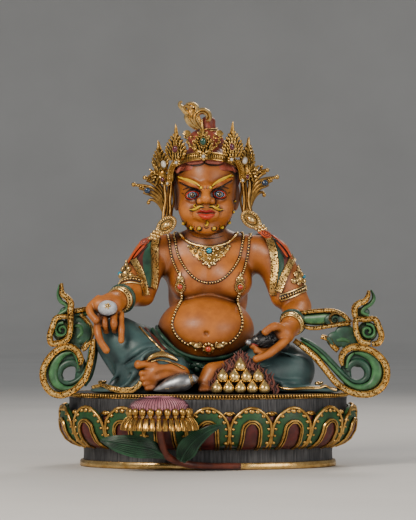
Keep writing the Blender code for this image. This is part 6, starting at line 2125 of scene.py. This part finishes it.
def foot_lotus():
    cx, cy = -42.0, -110.0
    flat = 0.74
    dome, rows = Heap(), []
    for height, radius in ((47, 20), (52, 24.6), (55.5, 26.0), (58.5, 25.2), (61.8, 22.2), (64.2, 17.2),
                           (65.7, 10.4), (66.2, 3)):
        ring = []
        for k in range(384):
            a = 2 * math.pi * k / 384
            ridge = 1 - 0.03 * (0.5 + 0.5 * math.cos(k * math.pi / 3 + 0.4)) ** 2
            ring.append((
                cx + radius * ridge * math.cos(a), cy + radius * ridge * math.sin(a) * flat,
                height - (0.7 * (0.5 + 0.5 * math.cos(k * math.pi / 3 + 0.4)) ** 2 if radius > 5 else 0)))
        rows.append(ring)
    dome.grid(np.array(rows), closed_v=True, cap=True)
    heap_piece("lotus_seed_head", dome, finish("dome"), "foot_lotus", slot="lotus_paint")
    lines = Heap()
    profile = curve([(24.8, 52), (26.0, 55.5), (25.2, 58.5), (22.2, 61.8), (17.2, 64.2), (14.0, 65.1)], 3)
    for k in range(64):
        c, d = math.cos(2 * math.pi * (k + 0.5) / 64), math.sin(2 * math.pi * (k + 0.5) / 64)
        lines.strand([(cx + r * c, cy + r * d * flat, h - 0.2) for r, h in profile], 0.6, 0.7,
                     face=(c, d, 1), sides=5)
    heap_piece("lotus_seed_lines", lines, finish("dome_line"), slot="lotus_paint")
    knob = Heap()
    knob.ball((0, -0.2, 52.4), (3.3, 3.2, 3.6), sides=14, rings=10)
    knob.ball((0, -0.6, 49.0), (2.0, 2.4, 3.2), sides=12, rings=8)
    points, normals = ellipse_spots(cx, cy, 26.2, 26.2 * flat, 20)
    set_round("lotus_knobs", knob, points, normals, "throne_gold", slot="antique_gilding")
    rib = Heap()
    path = curve([(0, -7.0, 47.4), (0, -4.0, 46.4), (0, -1.4, 43.4), (0, 0.4, 39.6), (0, 0.8, 36.8)], 4)
    rib.strand(path, np.interp(np.linspace(0, 1, len(path)), (0, 0.4, 0.8, 1), (2.8, 4.0, 5.4, 4.6)), 2.2,
               face=(0, 1, 0.5), sides=10)
    for shift in (-1.35, 1.35):
        rib.strand(path[2:] + np.array((shift, 1.0, 0.5)), 0.8, 1.0, face=(0, 1, 0.5), sides=6)
    points, normals = ellipse_spots(cx, cy, 31.6, 31.6 * flat, 31, 0.25)
    set_round("lotus_skirt", rib, points, normals, "throne_gold", slot="antique_gilding")
    under = Heap()
    a = 2 * math.pi * np.arange(60) / 60
    under.grid(np.array([
        [(cx + r * math.cos(t), cy + r * flat * math.sin(t), h) for t in a] for r,
        h in ((8, 36.4), (22, 37.4), (28.4, 41), (28.6, 45.4), (25.6, 47.0), (24.6, 52.4), (20, 54))]),
               closed_v=True, cap=True)
    heap_piece("lotus_ground", under, finish("stem"), slot="antique_gilding")
    stem, leaves, veins = Heap(), Heap(), Heap()
    path = curve([(-42, -110, 40), (-40, -101, 25), (-35, -91, 13), (-20, -81.5, 6), (2, -77.6, 3.5),
                  (20, -76.2, 3.5), (28.6, -75.6, 3.5)], 6)
    stem.strand(path, np.interp(np.linspace(0, 1, len(path)), (0, 0.9, 1), (6.4, 6.0, 4.2)), 6.2, sides=14)
    for shift in (-1.9, 1.9):
        stem.strand(path + np.array((0, -1.5, shift)), 1.6, 1.6, sides=6)
    heap_piece("lotus_stem", stem, finish("stem"), slot="lotus_paint")
    left = [(-93, -99, 27.4, 1.2), (-85, -102.6, 26.4, 5.0), (-76, -104, 24.4, 7.8), (-62, -104, 22, 9.6),
            (-48, -100, 19, 7.6), (-36, -92, 13, 3)]
    right = [(12, -103, 40.4, 1.2), (5, -104, 38, 3.2), (-1, -104, 35, 4.4), (-12, -103, 27, 7.2),
             (-19, -99, 18, 8.6), (-24, -92, 9, 4)]
    for line in (left, right):
        rows = curve(line, 6)
        along = unit(np.gradient(rows[:, :3], axis=0))
        side = unit(np.cross(along, (0, -1, 0)))
        across = np.linspace(-1, 1, 13)
        grid = []
        for i, row in enumerate(rows):
            grid.append([
                row[:3] + side[i] * u * row[3]
                + np.array((0, -1.0 + 1.9 * abs(u) ** 1.5 + 0.4 * math.sin(i * 0.5) * abs(u), 0))
                for u in across])
        grid = np.array(grid)
        leaves.grid(np.concatenate([grid, grid[:, ::-1] + np.array((0, 1.8, 0))], 1), closed_v=True, cap=True)
        veins.strand(rows[:, :3] + np.array((0, -1.5, 0)), np.linspace(0.8, 1.8, len(rows)), 1.4, sides=6)
        for share in (-0.8, -0.6, -0.4, -0.2, 0.2, 0.4, 0.6, 0.8):
            row = rows[1:-1, :3] + side[1:-1] * (share * rows[1:-1, 3]
                                                 * np.linspace(0.9, 1.0, len(rows) - 2))[:, None]
            veins.strand(row + np.array((0, -1.0 + 1.9 * abs(share) ** 1.5 - 0.35, 0)), 0.8, 0.9, sides=5)
    heap_piece("lotus_leaves", leaves, finish("leaf"), slot="lotus_paint")
    heap_piece("lotus_leaf_veins", veins, finish("leaf"), slot="lotus_paint")


# Dress of the legs


def leg_dress():
    """Waist roll, bow, gilt hems and anklet."""
    body = surface("torso", "trousers")
    cloth = surface("trousers")
    feet = surface("foot_right", "trousers")
    green, gold, red = Heap(), Heap(), Heap()
    for line, width in ((
        [(-47, 124), (-42, 116.5), (-33, 107.6), (-21, 100.6), (-8, 97.2), (6, 97), (19, 99.8), (30, 105),
         (37, 111)], 4.6),
                        ([(-50, 122), (-44, 113), (-34, 103.6), (-21, 96.6), (-8, 93.4), (6, 93.2),
                          (19, 95.8), (30, 101), (37, 107)], 3.4)):
        path, normals = lay_path(body, line, 1.6, 0.6, soften=12)
        green.strand(path, width, 4.2, face=normals, sides=10)
    for dx, dz, rx, rz, turn in ((-6.6, 90.4, 5.6, 3.2, 12), (-13.2, 90.0, 4.6, 3.0, -14),
                                 (-10, 86.6, 3.2, 3.4, 0)):
        hit, _ = front(body, dx, dz)
        green.ball(hit + np.array((0, -1.0, 0)), (rx, 2.6, rz), (0, turn, 0), sides=16, rings=10)
    for x, side in ((-5, 1), (-15, -1)):
        hit, _ = front(body, x, 90)
        flat_curl(green, x, 90.2, 3.0, hit[1] - 3.0, 90, 1.2, side, 1.2)
    path, normals = lay_path(cloth, [(-61, 124.6), (-56, 119.4), (-49, 112.6), (-42, 106), (-37, 101)],
                             1.4, 0.4)
    gold.strand(path, 1.8, 1.8, face=normals, sides=8)
    cling(red, cloth, *lay_path(cloth, [(-56.4, 124.0), (-50, 118.2), (-43, 111), (-37, 105)], 1.6), 5.0,
          0.8, 7, "cloth")
    hem = Heap()
    path, normals = lay_path(feet, [(-54, 94.4), (-49.6, 98.6), (-42, 100.8), (-34, 99.2), (-27.6, 95.2)],
                             1.0, 0.8, soften=8)
    gold.strand(path,
                np.interp(np.linspace(0, 1, len(path)), (0, 0.25, 0.5, 0.8, 1), (2, 4.6, 5.4, 4.4, 2)),
                3.4, face=normals, sides=12)
    path, normals = lay_path(feet, [(-50, 94.2), (-44, 96.0), (-37, 95.2), (-29, 92.0), (-21, 88.0)], 1.0,
                             0.5, soften=8)
    gold.strand(path, 1.5, 1.5, face=normals, sides=8)
    path, normals = lay_path(
        cloth,
        [(-103, 70.4), (-97, 72.0), (-92, 72.4), (-87.8, 71), (-77.3, 69.8), (-67.4, 69.8), (-61.7, 72.6),
         (-58.6, 76.6)], 1.4, 0.8, soften=12)
    hem.strand(path, 4.4, 2.8, face=normals, section="band")
    gold.strand(path + np.array((0, -0.4, -2.2)), 1.2, 1.4, face=normals, sides=6)
    path, normals = lay_path(
        cloth,
        [(61, 72), (66, 70.4), (74, 69.8), (86, 70.6), (98, 70.6), (103, 72.2), (108, 70.2), (113, 69.2)],
        1.4, 0.6, soften=12)
    gold.strand(path, 2.8, 2.4, face=normals, sides=8)
    heap_piece("right_hem", hem, finish("brocade"), slot="antique_gilding")
    for x, z in ((-101, 74.6), (104.4, 73.6)):
        hit, _ = front(cloth, x, z)
        gold.ball(hit + np.array((0, -0.6, 0)), (3.4, 2.2, 2.2), (0, 15, 0), sides=14, rings=8)
        gold.ball(hit + np.array((3.0, -0.6, 0.9)), (1.6, 1.5, 1.5), sides=10, rings=8)
    heap_piece("waist_roll", green, finish("dark_green"), slot="scarf_paint")
    heap_piece("hems_and_anklet", gold, finish("plain_gold"), slot="antique_gilding")
    heap_piece("trouser_lining", red, finish("maroon"), slot="scarf_paint")


# The stage

FLOOR_HALF_WIDTH = 9000
FLOOR_FRONT = -6000
SWEEP_START = 4600
SWEEP_RADIUS = 1400
SWEEP_TOP = 5000
LAMP_AIM = Vector((0, 0, 0.16))
CAMERA_PLACE = Vector((0.0, -2.6, 0.155))
CAMERA_AIM = Vector((0, 0, 0.1845))
CAMERA_LENS = 200.0


def build_stage():
    """The pale floor with its sweep, three soft lamps and the camera."""
    made, tree, shader, place = new_material("pale_floor", 0.7)
    tone = blend(tree, between(tree, noise(tree, place, 300.0), 0.3, 0.7), linear("#D9D8D5"),
                 linear("#E2E1DE"))
    tree.links.new(tone, shader.inputs["Base Color"])
    heap = Heap()
    # The floor sweeps up far behind the statue, beyond any place it is looked at from.
    bend = [(SWEEP_START + SWEEP_RADIUS * math.sin(a), SWEEP_RADIUS - SWEEP_RADIUS * math.cos(a))
            for a in np.linspace(0.1, math.pi / 2, 16)]
    profile = [(FLOOR_FRONT, 0), (SWEEP_START, 0), *bend, (SWEEP_START + SWEEP_RADIUS, SWEEP_TOP)]
    heap.grid(np.array([[(FLOOR_HALF_WIDTH, y, z), (-FLOOR_HALF_WIDTH, y, z)] for y, z in profile]))
    floor = make_mesh("floor", np.concatenate(heap.points), heap.faces, made)
    floor.location.z = -0.0002
    world = bpy.data.worlds.new("studio")
    world.use_nodes = True
    world.node_tree.nodes["Background"].inputs["Color"].default_value = linear("#D8DADD")
    world.node_tree.nodes["Background"].inputs["Strength"].default_value = 0.36
    bpy.context.scene.world = world
    for name, place, size, power, colour in (
        ("key", (-0.75, -1.2, 0.95), 0.5, 20.0, "#FFF4E6"),
        ("fill", (1.1, -1.2, 0.5), 0.8, 9.0, "#FFF8F0"),
        ("rim", (0.45, 1.1, 1.1), 0.6, 8.0, "#FFF6EC"),
    ):
        light = bpy.data.lights.new(name, "AREA")
        light.size = size
        light.energy = power
        light.color = linear(colour)[:3]
        lamp = bpy.data.objects.new(name, light)
        bpy.context.scene.collection.objects.link(lamp)
        lamp.location = place
        lamp.rotation_euler = (LAMP_AIM - Vector(place)).to_track_quat("-Z", "Y").to_euler()
    camera = bpy.data.cameras.new("camera")
    camera.lens = CAMERA_LENS
    camera.sensor_width = 36.0
    camera.clip_end = 20.0
    eye = bpy.data.objects.new("camera", camera)
    bpy.context.scene.collection.objects.link(eye)
    eye.location = CAMERA_PLACE
    eye.rotation_euler = (CAMERA_AIM - eye.location).to_track_quat("-Z", "Y").to_euler()
    bpy.context.scene.camera = eye


# Settings and operators


def colour_property(name, description, code):
    return bpy.props.FloatVectorProperty(name=name, description=description, subtype="COLOR", size=3,
                                         min=0.0, max=1.0, default=linear(code)[:3])


class StatueSettings(bpy.types.PropertyGroup):
    """Sizes and colours that change the statue's dress."""

    bead: bpy.props.FloatProperty(name="Bead", description="Diameter of a necklace bead", default=0.0020,
                                  min=0.001, max=0.005, unit="LENGTH")
    skin_colour: colour_property("Skin", "Lit tone of the ochre skin paint", "#D07C30")
    gold_colour: colour_property("Gold", "Bright tone of the antiqued gilding", "#DDB46A")
    trouser_colour: colour_property("Trousers", "Lit tone of the teal trousers", "#41605F")
    scarf_colour: colour_property("Scarf", "Lit tone of the green scarf", "#4F8A55")
    petal_colour: colour_property("Petals", "Lit tone of the throne's green petals", "#1F5C27")
    petal_heart_colour: colour_property("Petal hearts", "Lit tone of the red petal hearts", "#641A16")


class StatueOperator:
    """What every operator of the statue shares."""

    bl_options = {"REGISTER", "UNDO"}

    def execute(self, context):
        self.build(context.scene.statue)
        return {"FINISHED"}


class STATUE_OT_stage(StatueOperator, bpy.types.Operator):
    """Makes the pale floor, the soft studio lights and the camera"""

    bl_idname = "statue.stage"
    bl_label = "Stage"

    def build(self, settings):
        build_stage()


class STATUE_OT_throne(StatueOperator, bpy.types.Operator):
    """Makes the lotus throne: core, gilt bands and beads, and the ring of petals"""

    bl_idname = "statue.throne"
    bl_label = "Lotus throne"

    def build(self, settings):
        throne_core()
        throne_bands()
        throne_petals()


class STATUE_OT_body(StatueOperator, bpy.types.Operator):
    """Makes the body, head, hands and feet"""

    bl_idname = "statue.body"
    bl_label = "Body"

    def build(self, settings):
        clay_piece("torso", torso_clay(), "skin", "figure", slot="skin_paint")
        clay_piece("head", head_clay(), "skin", slot="skin_paint")
        for name, clay in zip(("hand_right", "hand_left"), hands_clay()):
            clay_piece(name, clay, "skin", slot="skin_paint")
        for name, clay in zip(("foot_right", "foot_left"), foot_clay()):
            clay_piece(name, clay, "skin", slot="skin_paint")


class STATUE_OT_clothes(StatueOperator, bpy.types.Operator):
    """Makes the trousers and the hair"""

    bl_idname = "statue.clothes"
    bl_label = "Trousers and hair"

    def build(self, settings):
        clay_piece("trousers", trousers_clay(), "trousers", slot="skin_paint")
        clay_piece("hair", hair_clay(), "coral", slot="skin_paint")


class STATUE_OT_face(StatueOperator, bpy.types.Operator):
    """Paints the face: eyes, lips, brows, moustache, beard curls and hairline"""

    bl_idname = "statue.face"
    bl_label = "Face"

    def build(self, settings):
        eyes()
        lips()
        brows_and_beard()
        hairline()


class STATUE_OT_crown(StatueOperator, bpy.types.Operator):
    """Makes the crown with its ear fans, the finial and the earrings"""

    bl_idname = "statue.crown"
    bl_label = "Crown and earrings"

    def build(self, settings):
        crown_pieces()
        finial()
        earrings()


class STATUE_OT_jewels(StatueOperator, bpy.types.Operator):
    """Lays the necklaces, belt chain, armlets and bracelets on the body"""

    bl_idname = "statue.jewels"
    bl_label = "Body jewels"

    def build(self, settings):
        necklaces(settings)


class STATUE_OT_scarf(StatueOperator, bpy.types.Operator):
    """Makes the shoulder cloths, the two scarf scrolls and the dress of the legs"""

    bl_idname = "statue.scarf"
    bl_label = "Cape and scarf"

    def build(self, settings):
        shoulder_cloth()
        scarf_scrolls()
        leg_dress()


class STATUE_OT_offerings(StatueOperator, bpy.types.Operator):
    """Makes the mongoose, citron, conch, jewels with their flames, and the foot lotus"""

    bl_idname = "statue.offerings"
    bl_label = "Offerings"

    def build(self, settings):
        mongoose_piece()
        conch_piece()
        jewels_and_flames()
        foot_lotus()


class STATUE_PT_panel(bpy.types.Panel):
    """The statue's steps and settings"""

    bl_label = "Statue"
    bl_idname = "STATUE_PT_panel"
    bl_space_type = "VIEW_3D"
    bl_region_type = "UI"
    bl_category = "Statue"

    def draw(self, context):
        for step in STEPS:
            self.layout.operator(step.bl_idname)
        for name in StatueSettings.__annotations__:
            self.layout.prop(context.scene.statue, name)


STEPS = (
    STATUE_OT_stage,
    STATUE_OT_throne,
    STATUE_OT_body,
    STATUE_OT_clothes,
    STATUE_OT_face,
    STATUE_OT_crown,
    STATUE_OT_jewels,
    STATUE_OT_scarf,
    STATUE_OT_offerings,
)


def register():
    for made in (StatueSettings, *STEPS, STATUE_PT_panel):
        bpy.utils.register_class(made)
    bpy.types.Scene.statue = bpy.props.PointerProperty(type=StatueSettings)


def unregister():
    del bpy.types.Scene.statue
    for made in reversed((StatueSettings, *STEPS, STATUE_PT_panel)):
        bpy.utils.unregister_class(made)


def main():
    register()
    make_materials(bpy.context.scene.statue)
    for step in STEPS:
        area, name = step.bl_idname.split(".")
        getattr(getattr(bpy.ops, area), name)()


if __name__ == "__main__":
    main()
